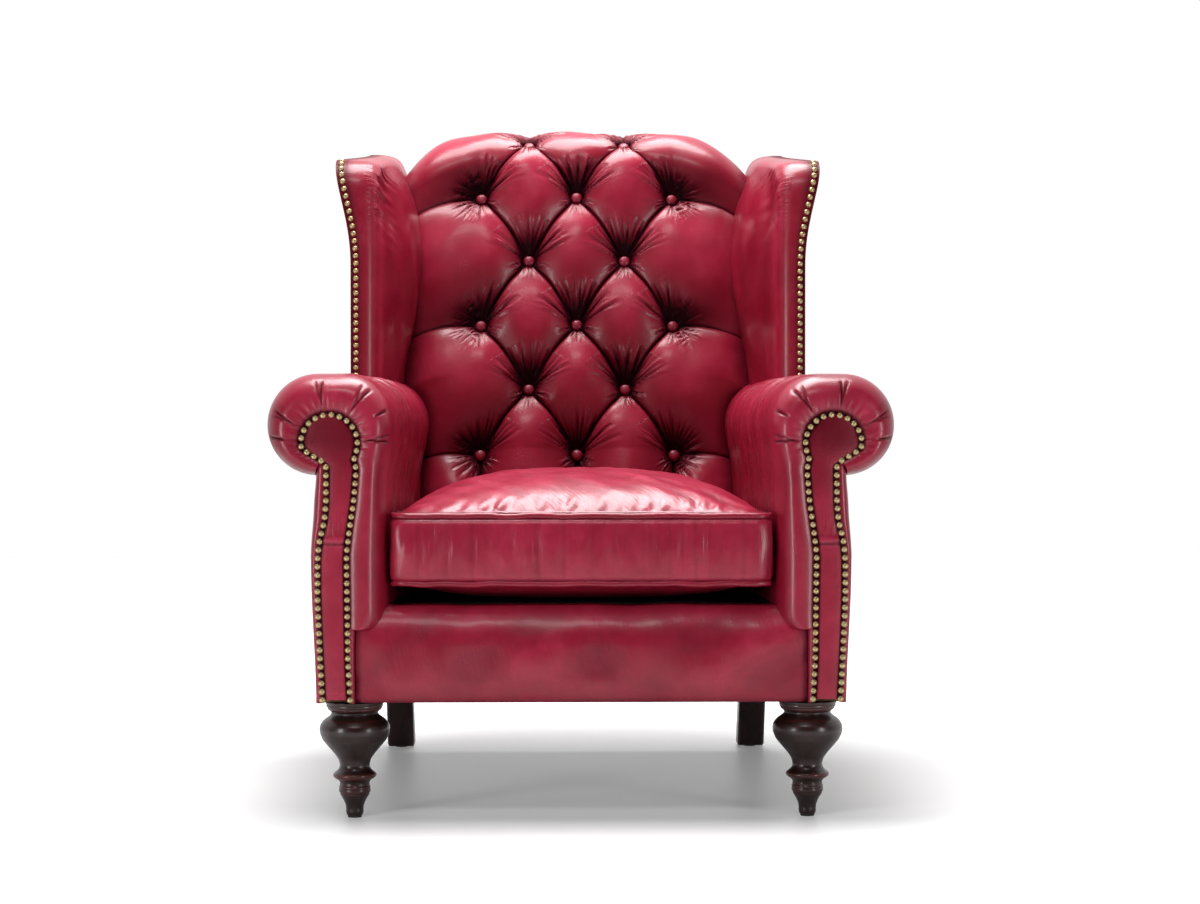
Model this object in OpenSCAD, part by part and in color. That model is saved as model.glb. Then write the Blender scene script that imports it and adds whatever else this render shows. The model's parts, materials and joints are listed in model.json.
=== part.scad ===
// Wing armchair: rolled arms with nailed facings, a deep-buttoned raked back,
// one loose seat cushion, turned front legs and raked rear legs.
// Millimetres. Z is up, the front faces -Y, and the origin lies on the floor
// at the centre of the footprint. Depths are measured back from the arm fronts.

/* [Overall] */
// Width across the outer edges of the two arm rolls
overall_w = 890; // [850:5:950]
// Height of the crest of the back
overall_h = 1058; // [1000:2:1110]
// Depth from the arm fronts to the inside back at seat level
seat_depth = 560; // [520:5:610]
// Angle by which each arm turns in towards the rear, in degrees
toe_in = 1.8; // [0.5:0.1:3]

/* [Base frame] */
// Clear height under the seat rails, taken up by the legs
leg_h = 165; // [140:1:190]
// Height of the seat rails
rail_h = 100; // [80:1:110]
// Thickness of the front seat rail and the arm posts
front_rail_t = 38; // [28:1:45]
// Thickness of the rear seat rail and the back posts
back_post_t = 45; // [35:1:55]
// Thickness of the side seat rails
side_rail_t = 42; // [32:1:46]
// Set-back of the front rail from the arm fronts
front_rail_setback = 42; // [38:1:60]
// Length of each side of a corner block
corner_block_l = 70; // [50:1:90]
// Height of a corner block
corner_block_h = 60; // [40:1:75]

/* [Seat deck] */
// Height of the deck, where the cushion rests, above the seat rails
deck_rise = 37; // [30:1:60]
// Thickness of the deck padding
deck_pad_t = 27; // [15:1:27]
// Number of seat springs
spring_count = 5; // [3:1:6]
// Thickness of the spring wire
spring_wire = 3.8; // [3:0.1:4.5]
// Centre-line radius of a spring's bends
spring_bend_r = 13; // [10:0.5:16]
// Width of the springs across their loops
spring_w = 52; // [44:1:60]

/* [Arms] */
// Height of the top of the arms
arm_h = 629; // [600:1:660]
// Radius of the arm roll
roll_r = 72; // [62:1:80]
// Overhang of the roll past the arm's outer side
roll_overhang = 69; // [50:1:80]
// Overhang of the roll past the arm's inner side
inner_overhang = 11; // [4:1:20]
// Thickness of the arm from its inner to its outer side
arm_body_w = 100; // [90:1:120]
// Rounding of the arm front
front_round = 30; // [15:1:34]
// Thickness of the padding on the inner side of the arm
arm_wall_pad_t = 30; // [20:1:38]
// Height of the top arm rail
arm_rail_h = 44; // [30:1:50]
// Thickness of the stuffing round the top arm rail
roll_stuffing_t = 40; // [30:1:44]
// Thickness of a lower arm rail
liner_t = 26; // [18:1:34]
// Height of a lower arm rail
liner_h = 44; // [30:1:60]

/* [Arm facings and nails] */
// Thickness of the facing panel
facing_t = 6; // [4:0.5:8]
// Radius of the facing's loop on the roll
facing_loop_r = 40; // [30:1:44]
// How far the loop's centre lies below the roll's centre
facing_loop_drop = 26; // [20:1:34]
// How far the loop's centre lies inside the arm's outer side
facing_loop_in = 23; // [16:1:30]
// Radius of a nail head
nail_r = 4.9; // [3.5:0.1:5.2]
// Height of a nail head
nail_h = 3; // [2:0.1:4]
// Spacing of the nails
nail_pitch = 11.6; // [11:0.1:16]

/* [Wings] */
// Depth from the arm fronts to the front edge of the wings
wing_front = 430; // [400:5:460]
// Height of the front tip of the wings
wing_tip_h = 978; // [930:1:990]
// Rounding of the wing's front tip
wing_tip_r = 46; // [25:1:60]
// Thickness of the wing at its front edge
wing_edge_t = 31; // [28:1:40]
// Thickness of the wing where it meets the back
wing_root_t = 77; // [66:1:90]
// Distance of the wing's outer side inside the arm's outer side
wing_inset = 4; // [2:0.5:8]
// Thickness of the wing board
wing_board_t = 18; // [12:1:20]

/* [Back] */
// Rake of the back, in degrees
rake = 11; // [7:0.5:15]
// Height of the bend in the back above the deck
bend_rise = 128; // [110:1:150]
// Thickness of the back's stuffing, from the webbing to the puffs
back_pad_t = 140; // [120:1:150]
// Height of the rounded crest
crest_rise = 85; // [60:1:100]
// How much lower the crest is at its corners
crest_drop = 42; // [20:1:55]
// Distance from the outermost buttons to the wings
button_side_room = 117.4; // [110:0.2:130]
// Distance of the top row of buttons up the crest's curve
top_row_rise = 62; // [50:1:66]
// Height of the lowest row above the bend
first_row_s = 83; // [70:1:95]
// Depth of a button below the puffs
tuft_depth = 36; // [20:1:42]
// Radius of a covered button
button_r = 9.5; // [7:0.5:11]
// Height of a covered button
button_h = 6; // [4:0.5:8]
// Width of the back webbing
webbing_w = 50; // [40:1:60]
// Thickness of the webbing
webbing_t = 2; // [1:0.1:3]

/* [Covers] */
// Thickness of the leather with its backing
cover_t = 3; // [2:0.1:4]
// Thickness of the cloths under the seat
cloth_t = 1; // [0.6:0.1:1.5]
// Clearance between soft pieces
soft_gap = 0.3; // [0.2:0.05:0.5]

/* [Seat cushion] */
// Depth of the cushion's front behind the arm fronts
cushion_setback = 15; // [8:1:30]
// Room behind the cushion
cushion_rear_room = 9; // [8:0.5:20]
// Gap between the cushion and each arm
cushion_side_gap = 3; // [2:0.5:8]
// Height of the cushion's sides between the pipings
boxing_h = 95; // [75:1:110]
// Crown of the top
crown_top = 50; // [25:1:60]
// Bulge of the underside
crown_bottom = 31; // [15:1:38]
// Rounding of the cushion's corners
cushion_corner_r = 28; // [20:1:40]
// How far the cushion's sides are drawn in
side_draw = 5; // [0:0.5:10]
// Radius of the piping
piping_r = 4.5; // [3:0.1:6]
// Distance of each end of the zip from the cushion's rear corner
zip_corner_room = 46; // [40:1:90]
// Width of the zip tape
zip_tape_w = 24; // [18:1:30]
// Width of the zip's teeth
zip_teeth_w = 6; // [4:0.5:8]
// Length of the zip slider
slider_l = 14; // [10:1:18]
// Thickness of the zip slider
slider_t = 3; // [2:0.1:3.4]

/* [Legs] */
// Largest radius of a front leg
bulb_r = 50; // [40:1:54]
// Distance of a front leg's centre inside the arm's outer side
front_leg_in = 54; // [52:1:66]
// Depth of a front leg's centre behind the arm fronts
front_leg_depth = 57; // [55:1:62]
// Side of a rear leg
rear_leg_side = 47; // [36:1:52]
// Side of a rear leg at the floor
rear_foot_side = 42; // [30:1:48]
// Distance of a rear leg's centre inside the chair's outer side there
rear_leg_in = 52; // [48:1:64]
// How far a rear foot stands behind the top of its leg
rear_leg_splay = 66; // [30:1:80]
// Radius of a glide under a leg
glide_r = 10; // [7:0.5:11]
// Height of a glide
glide_h = 3; // [2:0.5:5]
// Radius of a leg bolt
bolt_r = 4; // [3:0.5:5]
// Length of a leg bolt in the leg and in the rail above it
bolt_reach = 40; // [30:1:55]
// Clearance round a leg bolt
bolt_gap = 0.2; // [0.1:0.05:0.4]

/* [Hidden] */
leather = "#8a1626";
leather_light = "#a02a3a";
beech = "#c9a878";
brass_colour = "#9a7b46";
dark_wood = "#2a1512";
foam_colour = "#e6dcc0";
steel_colour = "#8c8f93";
black_cloth = "#22201f";
webbing_colour = "#b59b6a";

// One overrun serves every cut
cut = 1;
// A length beyond the whole chair, for regions that cut pieces
far = overall_w + overall_h;

// Arm outline
roll_outer_x = overall_w / 2;
body_outer_x = roll_outer_x - roll_overhang;
body_inner_x = body_outer_x - arm_body_w;
roll_inner_edge = body_inner_x - inner_overhang;
outer_lobe_x = roll_outer_x - roll_r;
inner_lobe_x = roll_inner_edge + roll_r;
lobe_z = arm_h - roll_r;
arc_steps = 12;
rounding_steps = 3;
lip_steps = 4;
arm_face = nail_h + facing_t;
skin_gap = cover_t + soft_gap;
rail_outer_x = body_outer_x - skin_gap;
rail_top = leg_h + rail_h;
deck_z = rail_top + deck_rise;
arm_hollow_x = body_inner_x + arm_wall_pad_t;
post_front = front_rail_setback;
post_rear = front_rail_setback + front_rail_t;
arm_base_z = deck_z + soft_gap;
border_bottom = leg_h + cover_t;
front_leg_x = body_outer_x - front_leg_in;
border_edge_x = front_leg_x - nail_r;

// Each arm turns about the facing's innermost nail
turn_x = body_outer_x - facing_loop_in - facing_loop_r;

// Back profile
bend_z = deck_z + bend_rise;
back_t = back_pad_t + back_post_t + skin_gap;
soft_t = back_pad_t - webbing_t - soft_gap;
crest_half = back_t / 2;
crest_s = (overall_h - bend_z + crest_half * sin(rake)
    - norm([crest_rise * cos(rake), crest_half * sin(rake)])) / cos(rake);
crest_mean_r = (crest_half + crest_rise) / 2;
crest_end_s = crest_s + PI * crest_mean_r;
chair_depth = seat_depth + crest_s * sin(rake) + crest_half * cos(rake)
    + norm([crest_rise * sin(rake), crest_half * cos(rake)]);
front_y = -chair_depth / 2;
wing_outer_x = body_outer_x - wing_inset;
wing_root_x = wing_outer_x - wing_root_t;
wing_board_x = wing_outer_x - skin_gap - wing_board_t;
wing_curve_power = 1.3;
wing_steps = 6;
wing_crest_start = 60;
back_frame_t = back_pad_t + back_post_t;
crest_corner_power = 4.5;
back_frame_half = back_half(crest_s);
crest_seat_t = 2 * cover_t;

// Tufting
rows = 6;
button_pitch = side_x(wing_root_x, seat_depth) - button_side_room;
row_pitch = (crest_s + top_row_rise - first_row_s) / (rows - 1);
cells_per_half_pitch = 3;
cells_per_row = 4;
column_step = button_pitch / (2 * cells_per_half_pitch);
row_step = row_pitch / cells_per_row;
side_cells = 3;
inner_cells = 4 * cells_per_half_pitch;
back_columns = inner_cells + 2 * side_cells;
last_row_s = first_row_s + (rows - 1) * row_pitch;
pillow_share = 0.62;
side_fade_share = 0.4;
low_fade_share = 0.7;
edge_dip_share = 0.75;
low_node_shares = [1, 0.5, 0];
crest_node_shares = [0.2, 0.4, 0.6, 0.8, 1];

// Cushion levels
cushion_front = cushion_setback;
cushion_rear = seat_depth - cushion_rear_room;
bottom_piping_z = deck_z + soft_gap + crown_bottom;
top_piping_z = bottom_piping_z + boxing_h;
cushion_nodes = 12;
crown_power = 3;
crown_shape = 0.75;
flat_share = 0.72;
piping_sides = 6;
panel_inset = 2 * piping_r + soft_gap;
boxing_inset = piping_r / 2;

// Springs
spring_z = rail_top + cloth_t;
spring_clip_l = front_rail_t / 2;
spring_front = post_rear - spring_clip_l;
spring_rear = seat_depth + back_pad_t + spring_clip_l;
spring_turns = 2 * floor((spring_rear - spring_front) / (4 * spring_bend_r));
spring_step = (spring_rear - spring_front) / (spring_turns + 1);

// Front leg outline from the floor up: share of its height, share of its largest radius
leg_outline_shares = [
    [0.00, 0.22], [0.025, 0.25], [0.06, 0.245], [0.10, 0.27], [0.14, 0.33], [0.175, 0.40],
    [0.205, 0.45], [0.245, 0.455], [0.27, 0.43], [0.30, 0.43], [0.325, 0.56], [0.345, 0.62],
    [0.365, 0.62], [0.385, 0.52], [0.41, 0.45], [0.44, 0.42], [0.49, 0.46], [0.54, 0.57],
    [0.60, 0.74], [0.66, 0.90], [0.72, 0.985], [0.76, 1.00], [0.80, 0.97], [0.84, 0.87],
    [0.87, 0.72], [0.89, 0.66], [0.91, 0.66], [0.925, 0.76], [0.95, 0.80], [1.00, 0.84]];

// Facing edges: share of the height from the foot to the roll's centre, then the share of the arm's
// thickness measured in from its outer side
facing_outer_shares = [
    [0.01, 0.13], [0.155, 0.10], [0.37, 0.065], [0.51, 0.065], [0.58, 0.09], [0.65, 0.16],
    [0.72, 0.185], [0.86, 0.185]];
facing_inner_shares = [
    [0.01, 0.52], [0.15, 0.49], [0.33, 0.48], [0.53, 0.47], [0.60, 0.50], [0.72, 0.57], [0.84, 0.61]];
facing_loop_start = 212;
facing_loop_end = -12;
facing_loop_steps = 14;

// A plane x = c of an arm's own frame, as a distance from the middle of the chair at a depth d
function side_x(c, d) = turn_x + (c - turn_x) / cos(toe_in) - d * tan(toe_in);

// Inner side of the arm roll at a height
function roll_inner_x(z) =
    z <= lobe_z ? roll_inner_edge
    : z >= arm_h ? inner_lobe_x
    : inner_lobe_x - sqrt(pow(roll_r, 2) - pow(z - lobe_z, 2));

function flatten(rows_of_points) = [for (row = rows_of_points) each row];

// Outline of the roll: two half circles joined by a flat top and bottom
function roll_outline(inset) = concat(
    [for (i = [0:arc_steps]) let (a = -90 + 180 * i / arc_steps)
        [outer_lobe_x + (roll_r - inset) * cos(a), lobe_z + (roll_r - inset) * sin(a)]],
    [for (i = [0:arc_steps]) let (a = 90 + 180 * i / arc_steps)
        [inner_lobe_x + (roll_r - inset) * cos(a), lobe_z + (roll_r - inset) * sin(a)]]);

// Depth and height of a point on the back: s runs up the front face and over the crest,
// t runs rearwards through the back
function bend_point(t) = [seat_depth + t, bend_z - t * tan(rake / 2)];
function raked_point(s, t) = [
    seat_depth + s * sin(rake) + t * cos(rake),
    bend_z + s * cos(rake) - t * sin(rake)];
function crest_fall(u) =
    crest_drop * pow(min(1, abs(u) / side_x(wing_root_x, seat_depth)), crest_corner_power);
function back_point(u, s, depth) =
    s < 0 ? [seat_depth + depth, bend_z + s - depth * tan(rake / 2) * (1 + s / bend_rise)]
    : s <= crest_s ? raked_point(s * (crest_s - crest_fall(u)) / crest_s, depth)
    : let (a = 180 * (s - crest_s) / (crest_end_s - crest_s))
        raked_point(
            crest_s - crest_fall(u) + (crest_rise - depth) * sin(a),
            crest_half - (crest_half - depth) * cos(a));

// Half width of the back at a point on it, between the arms below and between the wings above
function back_half(s) =
    let (front = back_point(0, min(s, crest_s), 0), d = front[0] + back_pad_t)
    min(side_x(wing_root_x, d), side_x(roll_inner_x(front[1] - back_pad_t * sin(rake)), d)) - soft_gap;

// Puffs between the buttons, from 0 at a button to 1 on top of a puff. Creases run along the diamonds,
// sideways from the outermost buttons, and down from the lowest row.
function puff(e1, e2) = pillow_share * sqrt(e1 * e2) + (1 - pillow_share) * sqrt(max(e1, e2));
function tuft(u, s) =
    let (
        across = u / button_pitch,
        up = (s - first_row_s) / (2 * row_pitch),
        past = max(0, abs(u) - button_pitch),
        room = back_half(s) - button_pitch,
        low = max(0, first_row_s - s),
        high = max(0, s - last_row_s),
        column = s < first_row_s ? abs(sin(180 * across)) : abs(cos(180 * across)),
        side = low > 0
            ? sin(min(90, 90 * low / row_pitch)) * sin(min(90, 180 * past / room))
            : abs(sin(180 * up)),
        raw = high > 0 && past > 0 ? 1
            : past > 0 ? puff(side, side)
            : low > 0 || high > 0 ? puff(column, column)
            : puff(abs(sin(180 * (across + up))), abs(sin(180 * (across - up)))),
        fade = max(0, 1 - side_fade_share * past / room)
            * max(0, 1 - low_fade_share * low / (first_row_s + bend_rise))
            * max(0, 1 - high / row_pitch))
    1 - max((1 - raw) * fade, edge_dip_share * pow(past / room, 3));

function column_u(i, s) =
    let (half = back_half(s), k = i - back_columns / 2, inside = inner_cells / 2)
    abs(k) <= inside ? k * column_step
    : sign(k) * (button_pitch + (half - button_pitch) * (abs(k) - inside) / side_cells);

low_nodes = [for (share = low_node_shares) -(bend_rise - soft_gap) * share];
row_nodes = [for (k = [-cells_per_row / 2:(rows - 1) * cells_per_row]) first_row_s + k * row_step];
pad_top_s = crest_s - crest_seat_t;
lower_nodes = [for (s = row_nodes) if (s < pad_top_s - row_step / 2) s];
upper_nodes = [for (s = row_nodes) if (s > crest_s + row_step / 2) s];
crest_nodes = [for (share = crest_node_shares) last_row_s + (crest_end_s - last_row_s) * share];
cover_nodes = concat(low_nodes, lower_nodes, [pad_top_s, crest_s], upper_nodes, crest_nodes);
pad_nodes = [for (s = cover_nodes) if (s <= pad_top_s) s];
crest_pad_nodes = [for (s = cover_nodes) if (s >= crest_s) s];

// One grid over the tufted back, sunk by an extra depth below the leather's face
function back_grid(nodes, extra) = [for (s = nodes) [for (i = [0:back_columns])
    let (u = column_u(i, s), p = back_point(u, s, extra + tuft_depth * (1 - tuft(u, s))))
    [u, front_y + p[0], p[1]]]];
function back_flat_grid(nodes, t) = [for (s = nodes) [for (i = [0:back_columns])
    let (u = column_u(i, s), p = back_point(u, s, t))
    [u, front_y + p[0], p[1]]]];
// The crest pad's rows go over the crest, and its seat lies on one plane across the back
function crest_grid(extra, seat) = [for (s = crest_pad_nodes) [for (i = [0:back_columns])
    let (
        a = 180 * (s - crest_s) / (crest_end_s - crest_s),
        u = column_u(i, crest_s),
        depth = extra + tuft_depth * (1 - tuft(u, s)),
        seat_point = raked_point(
            pad_top_s * (crest_s - crest_fall(u)) / crest_s + soft_gap,
            crest_half - (crest_half - depth) * cos(a)),
        p = seat ? seat_point : back_point(u, s, depth))
    [u, front_y + p[0], p[1]]]];

// Seat cushion: a node of a square grid, from -1 to 1 each way, on a plan with drawn-in sides
// and rounded corners, moved in from the outline
function node_share(i) = sin(90 * (2 * i / cushion_nodes - 1));
function cushion_half(d, q, inset) =
    side_x(body_inner_x, d) - cushion_side_gap - side_draw * (1 - pow(q, 2)) - inset;
function cushion_plan(p, q, inset) =
    let (
        length_half = (cushion_rear - cushion_front) / 2 - inset,
        middle = (cushion_rear + cushion_front) / 2,
        half = cushion_half(middle + q * length_half, q, inset),
        r = cushion_corner_r - inset,
        i = abs(p) * half - (half - r),
        j = abs(q) * length_half - (length_half - r),
        round = i > 0 && j > 0,
        x = round ? half - r + i * sqrt(1 - pow(j / r, 2) / 2) : abs(p) * half,
        d = round ? length_half - r + j * sqrt(1 - pow(i / r, 2) / 2) : abs(q) * length_half)
    [sign(p) * x, front_y + middle + sign(q) * d];
function crown(p, q) = pow((1 - pow(abs(p), crown_power)) * (1 - pow(abs(q), crown_power)), crown_shape);
function cushion_top_z(p, q) = top_piping_z + crown_top * crown(p, q);
function cushion_bottom_z(p, q) = bottom_piping_z - crown_bottom * min(1, crown(p, q) / flat_share);
function cushion_grid(inset, drop, top) = [for (j = [0:cushion_nodes]) [for (i = [0:cushion_nodes])
    let (p = node_share(i), q = node_share(j), place = cushion_plan(p, q, inset))
    [place[0], place[1], top ? cushion_top_z(p, q) - drop : cushion_bottom_z(p, q) + drop]]];
function edge_share(k) =
    let (side = floor(k / cushion_nodes), step = k % cushion_nodes, a = node_share(step))
    side == 0 ? [a, -1] : side == 1 ? [1, a] : side == 2 ? [-a, 1] : [-1, -a];
function cushion_ring(inset, z) = [for (k = [0:4 * cushion_nodes - 1])
    let (e = edge_share(k), place = cushion_plan(e[0], e[1], inset)) [place[0], place[1], z]];

// Distance along a path, and the point at a distance
function reach(path, i) = i == 0 ? 0 : reach(path, i - 1) + norm(path[i] - path[i - 1]);
function point_at(path, distance, i = 1) =
    let (step = norm(path[i] - path[i - 1]))
    distance <= step || i == len(path) - 1
        ? path[i - 1] + (path[i] - path[i - 1]) * min(1, distance / step)
        : point_at(path, distance - step, i + 1);

// Nail line of a facing: up its inner edge, round the loop and down its outer edge
facing_h = lobe_z - border_bottom;
function facing_edge(shares) = [
    for (p = shares) [body_outer_x - p[1] * arm_body_w, border_bottom + p[0] * facing_h]];
loop_x = body_outer_x - facing_loop_in;
loop_z = lobe_z - facing_loop_drop;
facing_path = concat(
    facing_edge(facing_inner_shares),
    [for (k = [0:facing_loop_steps])
        let (a = facing_loop_start + (facing_loop_end - facing_loop_start) * k / facing_loop_steps)
        [loop_x + facing_loop_r * cos(a), loop_z + facing_loop_r * sin(a)]],
    [for (k = [len(facing_outer_shares) - 1:-1:0]) facing_edge(facing_outer_shares)[k]]);

// Triangles of a grid of rows and columns
function grid_faces(rows_n, columns_n, start, turned, wrap = false) = [
    for (r = [0:rows_n - 2], c = [0:columns_n - (wrap ? 1 : 2)])
        let (
            a = start + r * columns_n + c,
            b = start + r * columns_n + (c + 1) % columns_n,
            e = a + columns_n,
            f = b + columns_n)
        each turned ? [[a, e, b], [b, e, f]] : [[a, b, e], [b, f, e]]];

// Triangles between two matching lines of points
function strip_faces(one, two, turned) = [
    for (k = [0:len(one) - 2])
        each turned ? [[one[k], two[k], one[k + 1]], [one[k + 1], two[k], two[k + 1]]]
            : [[one[k], one[k + 1], two[k]], [one[k + 1], two[k + 1], two[k]]]];

// Closed solid between two grids of the same size
module between_grids(near, away) {
    m = len(near);
    n = len(near[0]);
    far_start = m * n;
    first_row = [for (c = [0:n - 1]) c];
    last_row = [for (c = [0:n - 1]) (m - 1) * n + c];
    first_column = [for (r = [0:m - 1]) r * n];
    last_column = [for (r = [0:m - 1]) r * n + n - 1];
    polyhedron(
        points = concat(flatten(near), flatten(away)),
        faces = concat(
            grid_faces(m, n, 0, true),
            grid_faces(m, n, far_start, false),
            strip_faces(first_row, [for (k = first_row) far_start + k], false),
            strip_faces(last_row, [for (k = last_row) far_start + k], true),
            strip_faces(first_column, [for (k = first_column) far_start + k], true),
            strip_faces(last_column, [for (k = last_column) far_start + k], false)));
}

// Closed tube through rings of points, joined end to end both ways
module closed_tube(rings) {
    m = len(rings);
    n = len(rings[0]);
    looped = concat(rings, [rings[0]]);
    polyhedron(
        points = flatten(rings),
        faces = [for (f = grid_faces(m + 1, n, 0, false, true)) [for (k = f) k % (m * n)]]);
}

// Solid through convex outlines of equal length, each one planar
module skin(sections) {
    n = len(sections[0]);
    m = len(sections);
    polyhedron(
        points = flatten(sections),
        faces = concat(
            [[for (k = [n - 1:-1:0]) k]],
            [[for (k = [0:n - 1]) (m - 1) * n + k]],
            grid_faces(m, n, 0, false, true)));
}

// Frames of reference and cutting regions

// An arm's own frame: x across from the middle of the chair, y back from its front, turned in
module on_side(side) {
    mirror([side < 0 ? 1 : 0, 0, 0])
        translate([turn_x, front_y, 0])
            rotate([0, 0, toe_in])
                translate([-turn_x, 0, 0])
                    children();
}

// An outline of x and z, run back from one depth to another
module run_back(from, to) {
    translate([0, to, 0]) rotate([90, 0, 0]) linear_extrude(to - from) children();
}

// An outline of depth and z, run across the chair
module run_across(half) {
    translate([-half, front_y, 0]) rotate([90, 0, 90]) linear_extrude(2 * half) children();
}

// An outline of x and s, laid in the raked back from one depth in it to another
module in_back(t0, t1) {
    base = raked_point(0, t1);
    translate([0, front_y + base[0], base[1]])
        rotate([90 - rake, 0, 0])
            linear_extrude(t1 - t0)
                children();
}

module between_sides(c, z0, z1) {
    a = side_x(c, 0);
    b = side_x(c, chair_depth);
    translate([0, 0, z0])
        linear_extrude(z1 - z0)
            polygon([[-a, front_y], [a, front_y], [b, -front_y], [-b, -front_y]]);
}

module depth_slab(d0, d1, z0, z1) {
    translate([-far / 2, front_y + d0, z0]) cube([far, d1 - d0, z1 - z0]);
}

// The space in front of a surface that lies at one depth in the back
module before_back(t) {
    top = raked_point(far, t);
    run_across(far / 2)
        polygon([[-far, 0], [seat_depth + t, 0], bend_point(t), top, [-far, top[1]]]);
}

// A bent slab of the back from a height up to a distance along the rake
module back_slab(t0, t1, bottom, s, half) {
    run_across(half)
        polygon([
            [seat_depth + t0, bottom], [seat_depth + t1, bottom], bend_point(t1),
            raked_point(s, t1), raked_point(s, t0), bend_point(t0)]);
}

// Base frame

module front_rail_body() {
    intersection() {
        depth_slab(front_rail_setback, post_rear, leg_h, rail_top);
        between_sides(rail_outer_x, leg_h, rail_top);
    }
}

module front_rail() {
    color(beech) difference() {
        front_rail_body();
        for (side = [-1, 1]) leg_bolt_hole(side, front_leg_x, front_leg_depth);
    }
}

module rear_rail() {
    color(beech) difference() {
        intersection() {
            depth_slab(seat_depth + back_pad_t, seat_depth + back_pad_t + back_post_t, leg_h, rail_top);
            between_sides(rail_outer_x, leg_h, rail_top);
        }
        for (side = [-1, 1]) leg_bolt_hole(side, rear_leg_x, rear_leg_depth);
    }
}

module side_rail(side) {
    color(beech) intersection() {
        on_side(side)
            translate([rail_outer_x - side_rail_t, 0, leg_h])
                cube([side_rail_t, chair_depth, rail_h]);
        depth_slab(post_rear, seat_depth + back_pad_t, leg_h, rail_top);
    }
}

module corner_blocks() {
    c = rail_outer_x - side_rail_t;
    rear = seat_depth + back_pad_t;
    color(beech)
        for (side = [-1, 1], corner = [[post_rear, 1], [rear, -1]])
            let (d = corner[0], along = corner[1] * corner_block_l)
            mirror([side < 0 ? 1 : 0, 0, 0])
                translate([0, front_y, rail_top - corner_block_h])
                    linear_extrude(corner_block_h)
                        polygon([
                            [side_x(c, d), d], [side_x(c, d + along), d + along],
                            [side_x(c, d) - corner_block_l, d]]);
}

// Arm frame

post_inset = roll_stuffing_t;

module arm_post_body() {
    run_back(post_front, post_rear) polygon(roll_outline(post_inset));
    translate([arm_hollow_x, post_front, rail_top])
        cube([rail_outer_x - arm_hollow_x, front_rail_t, lobe_z - rail_top]);
}

module arm_post(side) {
    color(beech) on_side(side) arm_post_body();
}

module arm_rail_body() {
    translate([inner_lobe_x - roll_r + post_inset, post_rear, lobe_z - arm_rail_h / 2])
        cube([outer_lobe_x - inner_lobe_x + 2 * (roll_r - post_inset), chair_depth, arm_rail_h]);
}

module arm_rail(side) {
    color(beech) intersection() {
        on_side(side) arm_rail_body();
        before_back(back_pad_t);
    }
}

module arm_liner_body() {
    translate([arm_hollow_x, post_rear, arm_base_z])
        cube([liner_t, chair_depth, liner_h]);
}

module arm_liners() {
    color(beech)
        for (side = [-1, 1])
            intersection() {
                on_side(side) arm_liner_body();
                before_back(back_pad_t);
            }
}

// Back frame

post_top_s = crest_s - crest_drop - cover_t;
crest_rail_h = rail_h;

module back_post(side) {
    color(beech) intersection() {
        back_slab(back_pad_t, back_pad_t + back_post_t, rail_top, post_top_s, far / 2);
        between_sides(wing_board_x, rail_top, overall_h);
        mirror([side < 0 ? 1 : 0, 0, 0])
            translate([back_frame_half, front_y, 0])
                cube([far, far, overall_h]);
    }
}

module crest_rail() {
    low = post_top_s - crest_rail_h;
    color(beech)
        in_back(back_pad_t, back_frame_t)
            polygon(concat(
                [[-back_frame_half, low], [back_frame_half, low]],
                [for (i = [back_columns:-1:0])
                    let (u = column_u(i, crest_s))
                    [u, pad_top_s - crest_fall(u)]]));
}

module back_lower_rail() {
    color(beech)
        translate([-back_frame_half, front_y + seat_depth + back_pad_t, arm_base_z])
            cube([2 * back_frame_half, back_post_t, liner_h]);
}

// Wings

// Plan of a wing in its arm's frame, thick at the back and thin at its front edge
function wing_plan(inset) =
    let (edge = wing_outer_x - wing_edge_t, run = seat_depth + tuft_depth - wing_front)
    concat(
        [[wing_outer_x + inset, wing_front + inset]],
        [for (k = [0:wing_steps])
            let (share = k / wing_steps)
            [wing_root_x + inset + (edge - wing_root_x) * pow(1 - share, wing_curve_power),
                wing_front + inset + (run - inset) * share]],
        [[wing_root_x + inset, chair_depth], [wing_outer_x + inset, chair_depth]]);

// Side view of a wing: its front edge, rounded tip, sloping top and the corner of the crest.
// The rear is left open, past the plane where the outside back lies, and the cover's edge is cut slanted.
function wing_side(inset) =
    let (
        r = wing_tip_r - inset,
        corner_s = crest_s - crest_drop,
        open_t = back_frame_t + cut + inset,
        edge_s = corner_s + (inset == cover_t ? cut : 0))
    concat(
        [[wing_front + inset, lobe_z]],
        [for (k = [0:wing_steps])
            let (a = 180 - 90 * k / wing_steps)
            [wing_front + wing_tip_r + r * cos(a), wing_tip_h - wing_tip_r + r * sin(a)]],
        [for (k = [0:wing_steps])
            let (a = wing_crest_start + (180 - wing_crest_start) * k / wing_steps)
            raked_point(
                corner_s + (crest_rise - inset) * sin(a),
                back_frame_t / 2 - (back_frame_t / 2 - inset) * cos(a))],
        [raked_point(edge_s, open_t)],
        [raked_point((lobe_z - bend_z + open_t * sin(rake)) / cos(rake), open_t)]);

module wing_body(inset) {
    intersection() {
        translate([0, 0, lobe_z])
            linear_extrude(overall_h - lobe_z)
                polygon(wing_plan(inset));
        rotate([90, 0, 90])
            linear_extrude(far)
                polygon(wing_side(inset));
    }
}

module roll_prism(inset) {
    run_back(-cut, chair_depth) polygon(roll_outline(inset));
}

// A flat piece of a wing, from one distance across to another, as far back as the outside back
module wing_sheet(side, from, to) {
    intersection() {
        on_side(side) difference() {
            intersection() {
                wing_body(skin_gap);
                translate([from, 0, lobe_z]) cube([to - from, chair_depth, overall_h]);
            }
            roll_prism(-soft_gap);
        }
        before_back(back_frame_t);
    }
}

module wing_board(side) {
    color(beech) wing_sheet(side, wing_board_x, wing_board_x + wing_board_t);
}

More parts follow.
